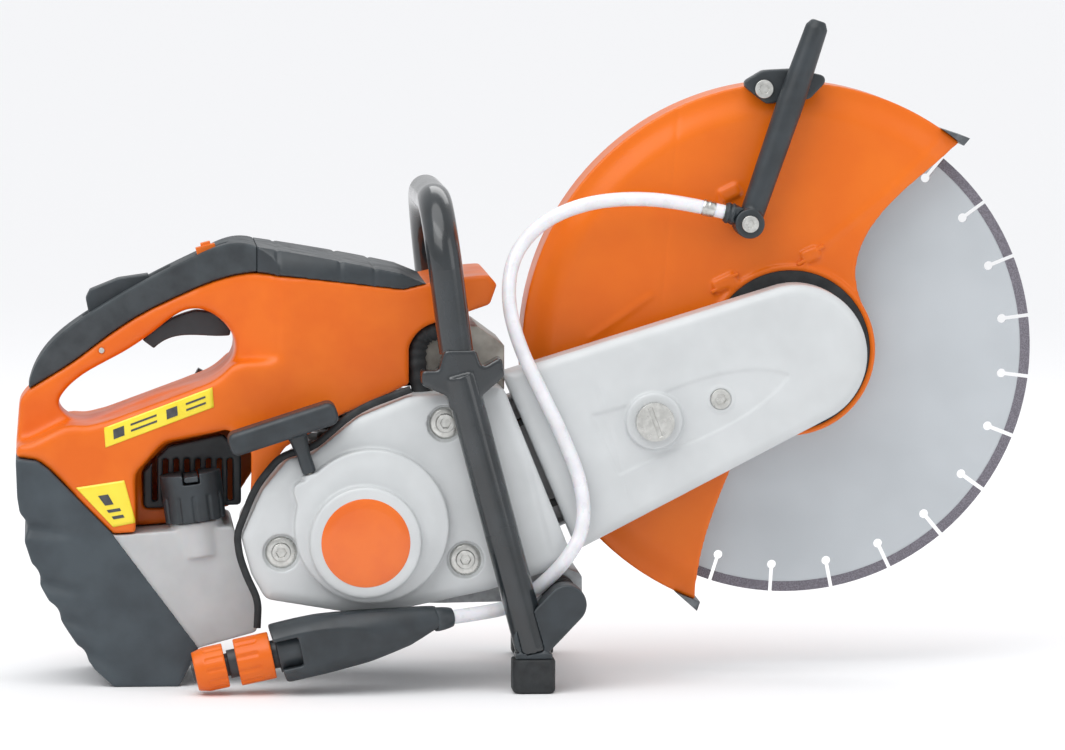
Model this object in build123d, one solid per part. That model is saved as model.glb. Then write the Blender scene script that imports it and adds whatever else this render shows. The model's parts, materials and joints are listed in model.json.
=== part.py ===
from build123d import *
import math
import os

# Petrol cut-off saw for rescue work. Millimetres. +X runs forward to the blade,
# +Y runs away from the starter side, +Z is up and the floor is z = 0.
# Outlines are side views, written as (x, z) points; "near" is the starter side.

# ---------------------------------------------------------------- driving sizes
blade_dia = 350.0
blade_core_thickness = 2.6
segment_height = 7.0
segment_thickness = 3.4
segment_count = 25
slot_width = 2.8
slot_hole_r = 3.2
slot_depth = 19.0
blade_bore_r = 10.0
washer_r = 51.5
washer_thickness = 7.0

guard_rim_gap = 15.0
guard_wall = 2.5
guard_half_width = 28.0
guard_front_angle = 50.5
guard_rear_angle = 249.5
guard_tip_height = 7.0

body_front_x = -16.0
guard_body_gap = 14.0
spindle_z = 232.0
spindle_r = 12.5
bearing_r = 26.0
bearing_width = 15.0
arm_boss_wall = 7.0
arm_end_r = 47.0
arm_crank_end_r = 52.0
arm_wall = 4.0
arm_web = 5.0
arm_depth = 17.0
guard_arm_gap = 2.7

crank_x = -117.0
crank_z = 106.0
crank_shaft_r = 7.0
journal_r = 10.0
crank_web_r = 30.0
crank_throw = 17.0
bore_r = 25.0
piston_height = 28.0
crown_z = 200.0
crankcase_top_z = 150.0

belt_width = 14.0
belt_thickness = 4.0
pulley_small_r = 22.0
pulley_large_r = 38.0
clutch_r = 36.0
belt_cover_depth = 30.0
belt_cover_wall = 3.0
cover_end_gap = 3.0

starter_step = 10.0
starter_wall = 3.0
ring_r = 54.0
dome_r = 39.0
ring_height = 14.0
dome_height = 10.0
reel_groove_r = 22.0
reel_flange_r = 33.0
rope_r = 2.0
pull_angle = 107.8
grip_bar_length = 79.0
grip_bar_height = 16.5

body_half_width = 62.0
grip_half_width = 21.0
housing_wall = 4.0
bumper_wall = 3.0
tank_wall = 3.0
cap_r = 21.5
cap_x = -233.0
cap_lean = 7.0
wing_hinge_x = -3.0
niche_back_y = -18.0
lock_pin = (-299, 234)
trigger_pin = (-213, 256)
strip_line = [(-341, 213), (-320, 226), (-297, 243), (-267, 262), (-237, 276), (-213, 286), (-190, 291)]

tube_r = 12.0
tube_wall = 2.0
loop_top_z = 353.0
loop_half_width = 97.0
foot_half_width = 106.0
foot_x = 0.0
far_foot_x = 14.0
star_x = -51.0
star_z = 222.0
foot_height = 24.0
mount_x = 23.0
mount_z = 62.0
buffer_r = 12.0

hose_r = 5.0
coupling_y = -106.0
coupling_slope = 12.0
inlet_r = 4.0

running = 0.05
clear = 0.3

# ---------------------------------------------------------------- derived places
blade_r = blade_dia / 2
guard_r = blade_r + guard_rim_gap
spindle_x = body_front_x + guard_body_gap + guard_r
seal_near_y = -guard_half_width - guard_arm_gap
casting_back_y = seal_near_y - clear
casting_front_y = casting_back_y - arm_depth
belt_cover_y = casting_front_y - belt_cover_depth
starter_plate_y = belt_cover_y - starter_step
ring_y = starter_plate_y - ring_height
dome_y = ring_y - dome_height
boss_r = bearing_r + arm_boss_wall
washer_near_y = -blade_core_thickness / 2 - washer_thickness
washer_far_y = blade_core_thickness / 2 + washer_thickness
boss_tip_y = washer_near_y - 3.5
belt_near_y = casting_front_y - 6.0 - belt_width
belt_far_y = belt_near_y + belt_width
head_top_z = crown_z + 22.0
rope_y = ring_y + 8.0
pull = (math.cos(math.radians(pull_angle)), math.sin(math.radians(pull_angle)))
rope_start = (crank_x - pull[1] * reel_groove_r, crank_z + pull[0] * reel_groove_r)
lever_y = -guard_half_width - 20.0
hose_y = belt_cover_y - hose_r - 0.6
buffer_near_y = -foot_half_width + tube_r + 2.0


# ---------------------------------------------------------------- helpers
def slab(face, y_low, y_high):
    """A side-view face stood up and given its width between two Y values."""
    return extrude(Plane.XZ.offset(-y_high) * face, y_high - y_low)


def polygon(points):
    return make_face(Polyline(*points, close=True))


def rounded(points, radius):
    face = polygon(points)
    return fillet(face.vertices(), radius)


def outline(*runs):
    """A closed face: a run of one point is a straight line to it, a longer run is a curve."""
    edges = []
    start = runs[-1][-1]
    for run in runs:
        points = [start, *run]
        edges.append(Line(*points) if len(points) == 2 else Spline(*points))
        start = run[-1]
    return make_face(edges)


def circle_at(x, z, radius):
    return Pos(x, z) * Circle(radius)


def disc(x, z, radius, y_low, y_high):
    return slab(circle_at(x, z, radius), y_low, y_high)


def ring(x, z, outer, inner, y_low, y_high):
    return slab(circle_at(x, z, outer) - circle_at(x, z, inner), y_low, y_high)


def span(near_r, far_r):
    """The outline of a belt run round the crank (near_r) and the spindle (far_r)."""
    near_edge = circle_at(crank_x, crank_z, near_r).edge()
    far_edge = circle_at(spindle_x, spindle_z, far_r).edge()
    return make_hull([near_edge, far_edge])


def polar(radius, angle):
    """A side-view point by its distance and angle from the spindle."""
    turn = math.radians(angle)
    return (spindle_x + radius * math.cos(turn), spindle_z + radius * math.sin(turn))


def along(start, direction, distance):
    return (start[0] + direction[0] * distance, start[1] + direction[1] * distance)


def pull_point(distance):
    """A point on the starter rope's line, at a distance from the reel."""
    spot = along(rope_start, pull, distance)
    return (spot[0], rope_y, spot[1])


def rod(start, end, radius, end_radius=None):
    """A round bar between two (x, y, z) points, tapered if an end radius is given."""
    line = Vector(*end) - Vector(*start)
    place = Plane(origin=start, z_dir=line)
    if end_radius is None:
        return extrude(place * Circle(radius), line.length)
    far = Plane(origin=end, z_dir=line)
    return loft([place * Circle(radius), far * Circle(end_radius)])


def hexagon(x, z, flats, y_low, y_high):
    return slab(Pos(x, z) * RegularPolygon(flats / 2, 6, major_radius=False), y_low, y_high)


def screw(x, z, head_r, head_y, seat_y, shank_r, tip_y):
    """A socket screw seen from the starter side, head at head_y and tip at tip_y."""
    head = disc(x, z, head_r, head_y, seat_y)
    socket = hexagon(x, z, head_r, head_y, head_y + (seat_y - head_y) * 0.6)
    return head - socket + disc(x, z, shank_r, seat_y, tip_y)


# ---------------------------------------------------------------- blade and spindle
def slots():
    cut = Sketch()
    inner = blade_r - slot_depth
    for i in range(segment_count):
        turn = Rot(0, 0, (i + 0.5) * 360 / segment_count)
        cut += turn * (Pos(inner + slot_depth / 2 + 1, 0) * Rectangle(slot_depth + 2, slot_width))
        cut += turn * (Pos(inner, 0) * Circle(slot_hole_r))
    return cut


def make_blade_core():
    face = Circle(blade_r - segment_height) - Circle(blade_bore_r) - slots()
    half = blade_core_thickness / 2
    return slab(Pos(spindle_x, spindle_z) * face, -half, half)


def make_blade_segments():
    face = Circle(blade_r) - Circle(blade_r - segment_height) - slots()
    half = segment_thickness / 2
    return slab(Pos(spindle_x, spindle_z) * face, -half, half)


def make_thrust_washers():
    half = blade_core_thickness / 2
    recess = 2.0
    parts = []
    for side in (-1, 1):
        near, far = sorted((side * half, side * (half + washer_thickness)))
        washer = ring(spindle_x, spindle_z, washer_r, blade_bore_r, near, far)
        low, high = sorted((side * half, side * (half + recess)))
        parts.append(washer - ring(spindle_x, spindle_z, washer_r - 9, 18.0, low, high))
    return Compound(parts)


def make_spindle():
    tip_y = washer_far_y - 2.0
    shaft = disc(spindle_x, spindle_z, spindle_r, belt_near_y - 6.0, washer_near_y)
    nose = disc(spindle_x, spindle_z, blade_bore_r, washer_near_y, tip_y)
    return shaft + nose - disc(spindle_x, spindle_z, 5.0, tip_y - 26.0, tip_y)


def make_blade_bolt():
    shank = disc(spindle_x, spindle_z, 5.0, washer_far_y - 24.0, washer_far_y)
    collar = disc(spindle_x, spindle_z, 14.0, washer_far_y, washer_far_y + 2.5)
    head = hexagon(spindle_x, spindle_z, 17.0, washer_far_y + 2.5, washer_far_y + 9.5)
    return shank + collar + head


def pulley(x, z, radius, bore, y_low, y_high):
    body = ring(x, z, radius, bore, y_low, y_high)
    for i in range(4):
        groove = y_low + (y_high - y_low) * (i + 1) / 5
        body -= ring(x, z, radius + 1, radius - 1.2, groove - 0.9, groove + 0.9)
    return body


def make_spindle_pulley():
    body = pulley(spindle_x, spindle_z, pulley_large_r, spindle_r, belt_near_y - 1, belt_far_y + 1)
    for i in range(5):
        spot = polar(25.0, i * 72)
        body -= disc(*spot, 5.5, belt_near_y - 2, belt_far_y + 2)
    return body


# ---------------------------------------------------------------- guard
def guard_face():
    """The guard's side view: a rim arc closed by two curved edges and the hub circle."""
    a0 = guard_front_angle
    a1 = guard_rear_angle
    hub = arm_end_r + 14.0
    edges = [
        ThreePointArc(polar(guard_r, a0), polar(guard_r, (a0 + a1) / 2), polar(guard_r, a1)),
        Spline(polar(guard_r, a1), polar(147, a1 - 3.6), polar(103, a1 - 5.5), polar(hub, a1 - 8)),
        ThreePointArc(polar(hub, a1 - 8), polar(hub, -40), polar(hub, a0 - 19)),
        Spline(polar(hub, a0 - 19), polar(85, a0 + 4), polar(131, a0 + 4.5), polar(guard_r, a0)),
    ]
    return make_face(edges)


def make_guard_shell():
    """Two side walls joined by the rim, open at the mouth where the blade comes out."""
    inner_y = guard_half_width - guard_wall
    shell = slab(guard_face(), -guard_half_width, guard_half_width)
    shell -= disc(spindle_x, spindle_z, guard_r - guard_wall, -inner_y, inner_y)
    shell -= disc(spindle_x, spindle_z, boss_r + running, -guard_half_width - 1, -inner_y + 1)
    shell -= disc(spindle_x, spindle_z, 34.0, inner_y - 1, guard_half_width + 1)
    shell += ring(spindle_x, spindle_z, 60.5, 57.5, seal_near_y, -guard_half_width)
    for radius, angle, length in ((67, 134, 17), (69, 78, 13), (120, 111, 15)):
        spot = polar(radius, angle)
        tab = Pos(*spot) * Rot(0, 0, 25) * Rectangle(length, 9)
        shell += slab(fillet(tab.vertices(), 2.0), seal_near_y, -guard_half_width)
    return shell


def make_guard_tips():
    tips = []
    for angle, sign in ((guard_front_angle, 1), (guard_rear_angle, -1)):
        inner = polar(guard_r, angle + 5 * sign)
        outer_r = guard_r + guard_tip_height
        points = [inner, polar(outer_r, angle - sign), polar(guard_r - 1, angle - sign)]
        wedge = slab(polygon(points), -guard_half_width, guard_half_width)
        tips.append(wedge - disc(spindle_x, spindle_z, guard_r, -guard_half_width, guard_half_width))
    return Compound(tips)


def lever_ends():
    return polar(97.0, 109.0), polar(guard_r + 40.0, 86.0)


def make_guard_lever():
    (foot_end_x, foot_end_z), (top_x, top_z) = lever_ends()
    foot = Vector(foot_end_x, lever_y, foot_end_z)
    top = Vector(top_x, lever_y, top_z)
    middle = foot + (top - foot) * 0.62
    tip = top + (top - foot).normalized() * 5
    lever = rod(foot, middle, 8.5, 9.6) + rod(middle, top, 9.6, 8.0) + rod(top, tip, 8.0, 5.0)
    return lever + disc(foot_end_x, foot_end_z, 10.5, lever_y - 10, -guard_half_width)


def guard_bolt_spot():
    return polar(guard_r - 3, 96.2)


def make_guard_bracket():
    points = [polar(guard_r + 3, 101), polar(guard_r + 10, 96), polar(guard_r + 10, 90),
              polar(guard_r + 6, 82), polar(guard_r - 11, 86), polar(guard_r - 14, 96)]
    plate = slab(rounded(points, 4.0), -guard_half_width - 11.0, -guard_half_width)
    return plate - make_guard_lever() - disc(*guard_bolt_spot(), 3.0, lever_y, 0)


def make_guard_bolts():
    bolt = guard_bolt_spot()
    foot = lever_ends()[0]
    upper = disc(*bolt, 6.5, -guard_half_width - 15.0, -guard_half_width - 11.0)
    upper -= hexagon(*bolt, 6.0, -guard_half_width - 15.0, -guard_half_width - 12.5)
    upper += disc(*bolt, 3.0, -guard_half_width - 11.0, -guard_half_width)
    lower = disc(*foot, 6.0, lever_y - 13.0, lever_y - 10.0)
    lower -= hexagon(*foot, 5.0, lever_y - 13.0, lever_y - 11.0)
    return Compound([upper, lower])


# ---------------------------------------------------------------- arm, belt and covers
def nose_face():
    """The casting that carries the front rubber mounts, below the arm."""
    points = [(-150, 57), (-62, 54), (6, 55), (mount_x + 2, mount_z - 17),
              (mount_x + 17, mount_z - 8), (mount_x + 17, mount_z + 12), (mount_x - 20, mount_z + 26),
              (-62, 112), (-150, 112)]
    return rounded(points, 5.0)


def make_arm_casting():
    arm = slab(span(arm_crank_end_r, arm_end_r), casting_front_y, casting_back_y)
    inner = span(arm_crank_end_r - arm_wall, arm_end_r - arm_wall)
    arm -= slab(inner, casting_front_y, casting_back_y - arm_web)
    arm += disc(spindle_x, spindle_z, boss_r, casting_front_y, boss_tip_y)
    arm -= disc(spindle_x, spindle_z, bearing_r, casting_front_y, boss_tip_y)
    arm -= disc(crank_x, crank_z, clutch_r + 5, casting_front_y, casting_back_y)
    post_x, post_z = cover_screw_spots()[3]
    arm += disc(post_x, post_z, 9.0, casting_front_y + 1, casting_back_y)
    return arm - disc(post_x, post_z, 3.0, casting_front_y, casting_back_y - 2)


def make_bearings():
    spindle_near = ring(spindle_x, spindle_z, bearing_r, spindle_r + running,
                        casting_front_y + 1, casting_front_y + 1 + bearing_width)
    spindle_far = ring(spindle_x, spindle_z, bearing_r, spindle_r + running,
                       boss_tip_y - bearing_width - 1, boss_tip_y - 1)
    mains = []
    for side in (-1, 1):
        low, high = sorted((side * 16.5, side * 29.5))
        mains.append(ring(crank_x, crank_z, 19.0, journal_r + running, low, high))
    return Compound([spindle_near, spindle_far, *mains])


def make_drive_belt():
    face = span(pulley_small_r + clear + belt_thickness, pulley_large_r + clear + belt_thickness)
    face -= span(pulley_small_r + clear, pulley_large_r + clear)
    return slab(face, belt_near_y, belt_far_y)


def belt_tunnel():
    near_r = pulley_small_r + belt_thickness + 4
    return slab(span(near_r, pulley_large_r + belt_thickness + 4), belt_near_y - 3, casting_front_y)


def cover_screw_spots():
    """Three screws in the starter cover, then one in the belt cover."""
    return [(-175, 97), (-60, 187), (-46, 91), (spindle_x - 54.0, spindle_z - 30.0)]


def tensioner_spot():
    return (crank_x + (spindle_x - crank_x) * 0.669, crank_z + (spindle_z - crank_z) * 0.643)


def belt_cover_face(shrink=0.0):
    end_r = arm_end_r + cover_end_gap - shrink
    left = [circle_at(-18.0 + shrink, 220.0 - shrink, 1.0).edge(),
            circle_at(34.0 + shrink, 97.0 + shrink * 1.5, 1.0).edge()]
    return make_hull([circle_at(spindle_x, spindle_z, end_r).edge(), *left])


def make_belt_cover():
    cover = slab(belt_cover_face(), belt_cover_y, casting_front_y)
    cover -= slab(belt_cover_face(belt_cover_wall), belt_cover_y + belt_cover_wall, casting_front_y)
    cover -= belt_tunnel()
    cover -= slab(starter_face(0.4), belt_cover_y, casting_front_y)
    nut_x, nut_z = tensioner_spot()
    cover += disc(nut_x, nut_z, 20.0, belt_cover_y - 4, belt_cover_y + belt_cover_wall)
    cover -= disc(nut_x, nut_z, 6.0 + running, belt_cover_y - 5, belt_cover_y + 8)
    pocket = slab(pocket_face(), belt_cover_y - 1, belt_cover_y + 1.2)
    cover -= pocket - disc(nut_x, nut_z, 20.5, belt_cover_y - 4, 0)
    post_x, post_z = cover_screw_spots()[3]
    cover += disc(post_x, post_z, 9.0, belt_cover_y, casting_front_y + 1)
    return cover - screw_room(3)


def pocket_face():
    """The shallow leaf-shaped hollow pressed into the belt cover's face."""
    upper_edge = [(spindle_x - 90, 209), (spindle_x - 32, 223), (spindle_x - 4, 219)]
    lower_edge = [(spindle_x - 24, 199), (spindle_x - 72, 172), (spindle_x - 126, 148)]
    return outline([(spindle_x - 146, 192)], upper_edge, lower_edge)


def cover_screw_head(index):
    """A cover screw's head radius and the Y of its face."""
    return (7.0, belt_cover_y - 0.5) if index == 3 else (6.5, starter_plate_y + 1.0)


def cover_screw_solid(index):
    x, z = cover_screw_spots()[index]
    head_r, head_y = cover_screw_head(index)
    tip_y = casting_back_y - 2 if index == 3 else belt_near_y - 4
    return screw(x, z, head_r, head_y, head_y + 4.0, 3.0, tip_y)


def screw_room(index):
    """The hole a cover screw leaves, its head's socket filled."""
    x, z = cover_screw_spots()[index]
    head_r, head_y = cover_screw_head(index)
    return cover_screw_solid(index) + disc(x, z, head_r, head_y, head_y + 4.0)


def make_cover_screws():
    return Compound([cover_screw_solid(i) for i in range(4)])


def starter_face(grow=0.0):
    """The starter cover's side view; grow moves its front edge only."""
    points = [(-203, 108), (-196, 82), (-186, 64), (-133, 55), (-98, 55), (-30, 69), (31 + grow, 88),
              (-20 + grow, 214), (-63, 207), (-86, 206), (-121, 192), (-153, 166), (-170, 163),
              (-188, 141)]
    return rounded(points, 9.0)


def make_starter_cover():
    face = starter_face()
    cover = slab(face, starter_plate_y, casting_front_y)
    inside = offset(face, -starter_wall)
    cover -= slab(inside, starter_plate_y + starter_wall, casting_front_y)
    ring_x, ring_z = crank_x + 5, crank_z + 10
    for x, z in cover_screw_spots()[:3]:
        cover += disc(x, z, 15.0, starter_plate_y, belt_near_y - 4)
        cover -= disc(x, z, 12.8, starter_plate_y, starter_plate_y + 5.0)
    cover += disc(ring_x, ring_z, ring_r, ring_y, starter_plate_y + 1)
    cover += disc(crank_x, crank_z, dome_r, dome_y, ring_y + 1)
    cover -= disc(ring_x, ring_z, ring_r - starter_wall, ring_y + starter_wall, belt_near_y - 4)
    cover -= disc(crank_x, crank_z, dome_r - starter_wall, dome_y + starter_wall, belt_near_y - 4)
    cover += disc(crank_x, crank_z, 8.0, dome_y + 1, starter_plate_y + 6)
    cover -= belt_tunnel()
    arm_room = span(arm_crank_end_r + clear, arm_end_r + clear)
    cover -= slab(arm_room, casting_front_y - 4.5, casting_front_y)
    tower = along(rope_start, pull, 30.0)
    tower_face = Pos(*tower) * Rot(0, 0, pull_angle - 90) * Rectangle(30, 46)
    tower_solid = slab(fillet(tower_face.vertices(), 6.0), ring_y, starter_plate_y + 1)
    cover += tower_solid - disc(ring_x, ring_z, ring_r - 1, ring_y - 1, starter_plate_y + 2)
    bush = rod(pull_point(20.0), pull_point(56.5), 7.0)
    cover += bush - disc(ring_x, ring_z, ring_r - 1, ring_y - 5, starter_plate_y + 20)
    cover -= rod(pull_point(0.0), pull_point(96.5), rope_r + 1.0)
    for index in range(3):
        cover -= screw_room(index)
    return cover


def make_tensioner_nut():
    x, z = tensioner_spot()
    nut = disc(x, z, 13.5, belt_cover_y - 12, belt_cover_y - 4 - clear)
    nut -= slab(Pos(x, z) * Rot(0, 0, 20) * Rectangle(3, 22), belt_cover_y - 12, belt_cover_y - 10)
    cam = disc(x + 4, z, 13.0, belt_near_y - 1, belt_far_y)
    return nut + disc(x, z, 6.0, belt_cover_y - 4 - clear, casting_front_y - 2) + cam


# ---------------------------------------------------------------- engine
def make_crankcase():
    case = slab(rounded([(-172, 57), (-62, 54), (-62, crankcase_top_z), (-172, crankcase_top_z)], 12.0),
                casting_back_y, 40.0)
    case += slab(nose_face(), casting_back_y, 40.0)
    case -= disc(crank_x, crank_z, crank_web_r + 3, -16.5, 16.5)
    case -= disc(crank_x, crank_z, 19.0, casting_back_y, 40.0)
    case -= extrude(Pos(crank_x, 0, crank_z) * Circle(bore_r + 4), crankcase_top_z)
    hollow = [(-50, 64), (mount_x - 30, 64), (mount_x - 30, 88), (-50, 104)]
    return case - slab(polygon(hollow), casting_back_y + 5, 35.0)


def upright(radius, z_low, z_high, y=0.0):
    return extrude(Pos(crank_x, y, z_low) * Circle(radius), z_high - z_low)


def make_cylinder():
    skirt_z = crankcase_top_z - 12
    block = upright(bore_r + 4.5, crankcase_top_z, head_top_z - 6)
    block += upright(bore_r + 3.7, skirt_z, crankcase_top_z)
    pitch = 8.0
    fin_width = -2 * casting_back_y - 1.0
    for i in range(8):
        z = crankcase_top_z + 2 + i * pitch
        fin = Pos(crank_x, 0, z) * fillet(Rectangle(72, fin_width).vertices(), 12.0)
        block += extrude(fin, 2.2)
    block += upright(14.0, head_top_z - 8, head_top_z)
    block -= upright(bore_r, skirt_z, crown_z + 2)
    return block - upright(7.0, crown_z, head_top_z)


def make_spark_plug():
    plug = upright(7.0, crown_z + 4, head_top_z)
    plug += extrude(Pos(crank_x, 0, head_top_z) * RegularPolygon(10.4, 6, major_radius=False), 12)
    return plug + upright(6.0, head_top_z + 12, head_top_z + 26)


def make_piston():
    piston = upright(bore_r - running, crown_z - piston_height, crown_z)
    return piston - upright(bore_r - 4, crown_z - piston_height, crown_z - 7)


def make_crankshaft():
    shaft = disc(crank_x, crank_z, crank_shaft_r, belt_near_y - 5, 60.0)
    shaft += disc(crank_x, crank_z, journal_r, -29.5, 29.5)
    shaft += disc(crank_x, crank_z, crank_web_r, -13, 13)
    shaft -= disc(crank_x, crank_z, crank_web_r + 1, -6, 6)
    return shaft + disc(crank_x, crank_z + crank_throw, 7.0, -6, 6)


def make_clutch_drum():
    cup = disc(crank_x, crank_z, clutch_r, casting_front_y + 2, casting_back_y - 1)
    cup -= disc(crank_x, crank_z, clutch_r - 3, casting_front_y + 5, casting_back_y - 1)
    cup += pulley(crank_x, crank_z, pulley_small_r, crank_shaft_r, belt_near_y - 1, casting_front_y + 2)
    return cup - disc(crank_x, crank_z, crank_shaft_r + running, belt_near_y - 2, casting_back_y)


def make_clutch_shoes():
    low, high = casting_front_y + 5 + clear, casting_back_y - 1
    shoes = ring(crank_x, crank_z, 12.0, crank_shaft_r, low, high)
    sectors = ring(crank_x, crank_z, clutch_r - 6, 11.0, low, high)
    for i in range(3):
        gap = Rot(0, 0, 30 + 120 * i) * (Pos(20, 0) * Rectangle(40, 6))
        sectors -= slab(Pos(crank_x, crank_z) * gap, low, high)
    return shoes + sectors


def make_flywheel():
    wheel = ring(crank_x, crank_z, 46.0, crank_shaft_r, 44.0, 48.0)
    wheel += ring(crank_x, crank_z, 18.0, crank_shaft_r, 44.0, 60.0)
    for i in range(16):
        blade = Rot(0, 0, 22.5 * i) * (Pos(33, 0) * Rot(0, 0, 20) * Rectangle(25, 2.2))
        wheel += slab(Pos(crank_x, crank_z) * blade, 48.0, 60.0)
    return wheel


def fan_face():
    points = [(-202, 107), (-188, 66), (-133, 50), (-75, 52), (-50, 66), (-44, 110), (-60, 156),
              (-84, 198), (-133, 178), (-169, 150)]
    return rounded(points, 14.0)


def make_fan_cover():
    """The cooling-air cover on the far side, with a ring of air slots over the fan."""
    far_y = body_half_width + 10
    cover = slab(fan_face(), 40.0, far_y) - slab(offset(fan_face(), -3.0), 40.0, far_y - 3)
    for i in range(20):
        slot = Rot(0, 0, 18 * i) * (Pos(31, 0) * SlotOverall(26, 4.5))
        cover -= slab(Pos(crank_x, crank_z) * slot, far_y - 4, far_y + 1)
    return cover


def make_carburettor():
    body = Pos(-184, 0, 190) * Box(30, 40, 38)
    throat = Rot(0, 90, 0) * Cylinder(11, 60)
    body -= Pos(-184, 0, 190) * throat
    body += Pos(-184, 24, 182) * Rot(90, 0, 0) * Cylinder(14, 8)
    boot = rod((-169, 0, 190), (-153, 0, 190), 17, 20) - rod((-169, 0, 190), (-153, 0, 190), 11)
    return Compound([body, boot])


def make_muffler():
    left = crank_x + 36.0
    points = [(left, 206), (body_front_x, 206), (body_front_x, 238), (body_front_x - 19, 252), (left, 252)]
    can = slab(rounded(points, 2.0), -44, 44)
    inner = [(left + 2, 208), (body_front_x - 2, 208), (body_front_x - 2, 237), (body_front_x - 20, 250),
             (left + 2, 250)]
    can -= slab(polygon(inner), -42, 42)
    outlet = Pos(-48, 44, 226) * Rot(90, 0, 0)
    return can + outlet * Cylinder(9, 12) - outlet * Cylinder(7, 30)


def make_air_filter():
    points = [(-163, 258), (-92, 252), (-92, 270), (-138, 276), (-163, 279)]
    reach = body_half_width - 2 - housing_wall
    return slab(polygon(points), -reach, reach)


# ---------------------------------------------------------------- tank, bumper and housings
def tank_face():
    points = [(-207, 113), (-292, 107), (-336, 150), (-352, 151), (-348, 108), (-336, 72), (-311, 33),
              (-292, 16), (-250, 14), (-232, 27), (-191, 38), (-191, 60), (-205, 98)]
    return rounded(points, 4.0)


def cap_plane():
    """Sits on the tank's top under the fuel cap, its normal leaning back with the cap."""
    lean = math.radians(cap_lean)
    return Plane(origin=(cap_x, niche_back_y - 5.0 - cap_r, 111),
                 z_dir=(-math.sin(lean), 0, math.cos(lean)), x_dir=(math.cos(lean), 0, math.sin(lean)))


def on_cap(face, low, high):
    return extrude(cap_plane().offset(low) * face, high - low)


def make_fuel_tank():
    half = body_half_width - bumper_wall
    tank = slab(tank_face(), -half, half)
    tank += on_cap(Circle(cap_r - 3), -20, 5)
    tank -= slab(offset(tank_face(), -tank_wall), -half + tank_wall, half - tank_wall)
    return tank - on_cap(Circle(cap_r - 7), -21, 6)


def make_fuel_cap():
    cap = on_cap(Circle(cap_r), 5 + clear, 39)
    cap -= on_cap(Circle(cap_r - 3), 5 + clear, 9)
    cap += on_cap(Circle(cap_r - 8), -8, 9)
    for i in range(12):
        notch = Rot(0, 0, 30 * i) * (Pos(cap_r + 0.8, 0) * Circle(2.0))
        cap -= on_cap(notch, 5, 24)
    cap -= on_cap(Rectangle(12, 2 * cap_r + 2), 32, 40)
    return cap


def make_fuel_cap_wing():
    """A folding grip lying in the slot across the cap's top, round along its hinge side."""
    half = cap_r - 2
    hinge = [cap_plane().from_local_coords((wing_hinge_x, side * half, 35.5)) for side in (-1, 1)]
    plate = on_cap(Pos((5 + wing_hinge_x) / 2, 0) * Rectangle(5 - wing_hinge_x, 2 * half), 33.5, 37.5)
    return plate + rod(tuple(hinge[0]), tuple(hinge[1]), 2.0)


def bumper_face():
    return polygon([(-337, 154), (-345, 160), (-360, 162), (-359, 134), (-354, 103), (-345, 75),
                    (-332, 52), (-318, 30), (-305, 12), (-292, 0), (-246, 0), (-232, 27), (-292, 108)])


def make_rear_bumper():
    bumper = slab(bumper_face(), -body_half_width, body_half_width)
    for centre, groove_r in (((-366, 112), 14), ((-357, 76), 14), ((-343, 48), 14), ((-322, 18), 12)):
        bumper -= disc(centre[0], centre[1], groove_r, -body_half_width, body_half_width)
    return bumper - tank_room()


def tank_room():
    """The tank with no hollow, the shape the bumper is cut to."""
    half = body_half_width - bumper_wall
    return slab(tank_face(), -half, half)


def opening_face():
    return make_face(Spline((-329, 200), (-316, 214), (-288, 230), (-258, 250), (-236, 263), (-213, 254),
                            (-205, 236), (-216, 219), (-250, 206), (-297, 188), (-320, 186), periodic=True))


def housing_face():
    return outline([(-357, 199)], [(-351, 207)], strip_line, [(-138, 285)], [(-88, 279)], [(-72, 283)],
                   [(-50, 287), (-28, 289)], [(-22, 282)], [(-27, 268)], [(-62, 256)],
                   [(-76, 250), (-84, 238)], [(-84, 212)], [(-133, 190)], [(-170, 168)], [(-208, 114)],
                   [(-292, 108)], [(-337, 154)], [(-345, 160)], [(-360, 162)])


def flare_cut():
    """Narrows everything round the rear handle and flares it out into the hood."""
    side = polygon([(-400, 166), (-350, 172), (-326, 184), (-297, 187), (-237, 209), (-205, 228),
                    (-150, 232), (-150, 340), (-400, 340)])
    wide = body_half_width + 60
    cut = None
    for sign in (-1, 1):
        plan = [(-400, sign * grip_half_width), (-232, sign * grip_half_width),
                (-168, sign * (body_half_width + 1)), (-168, sign * wide), (-400, sign * wide)]
        block = extrude(make_face(Polyline(*plan, close=True)), 400)
        cut = block if cut is None else cut + block
    return cut & slab(side, -wide - 10, wide + 10)


def flare_room(wall):
    """The room inside the flare, one wall in from its sides."""
    near_grip = grip_half_width + 16.0
    plan = [(-196, -near_grip), (-165, -wall), (-20, -wall), (-20, wall), (-165, wall), (-196, near_grip)]
    return extrude(polygon(plan), 400)


def hood_profile():
    """The hood's front view, with rounded shoulders, run the whole length of the body."""
    half = body_half_width - 2
    face = Rectangle(2 * half, 500)
    face = Pos(0, 313 - 250) * face
    face = fillet(face.vertices().sort_by(Axis.Y)[-2:], 26.0)
    return extrude(Plane.YZ.offset(-400) * face, 420)


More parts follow.
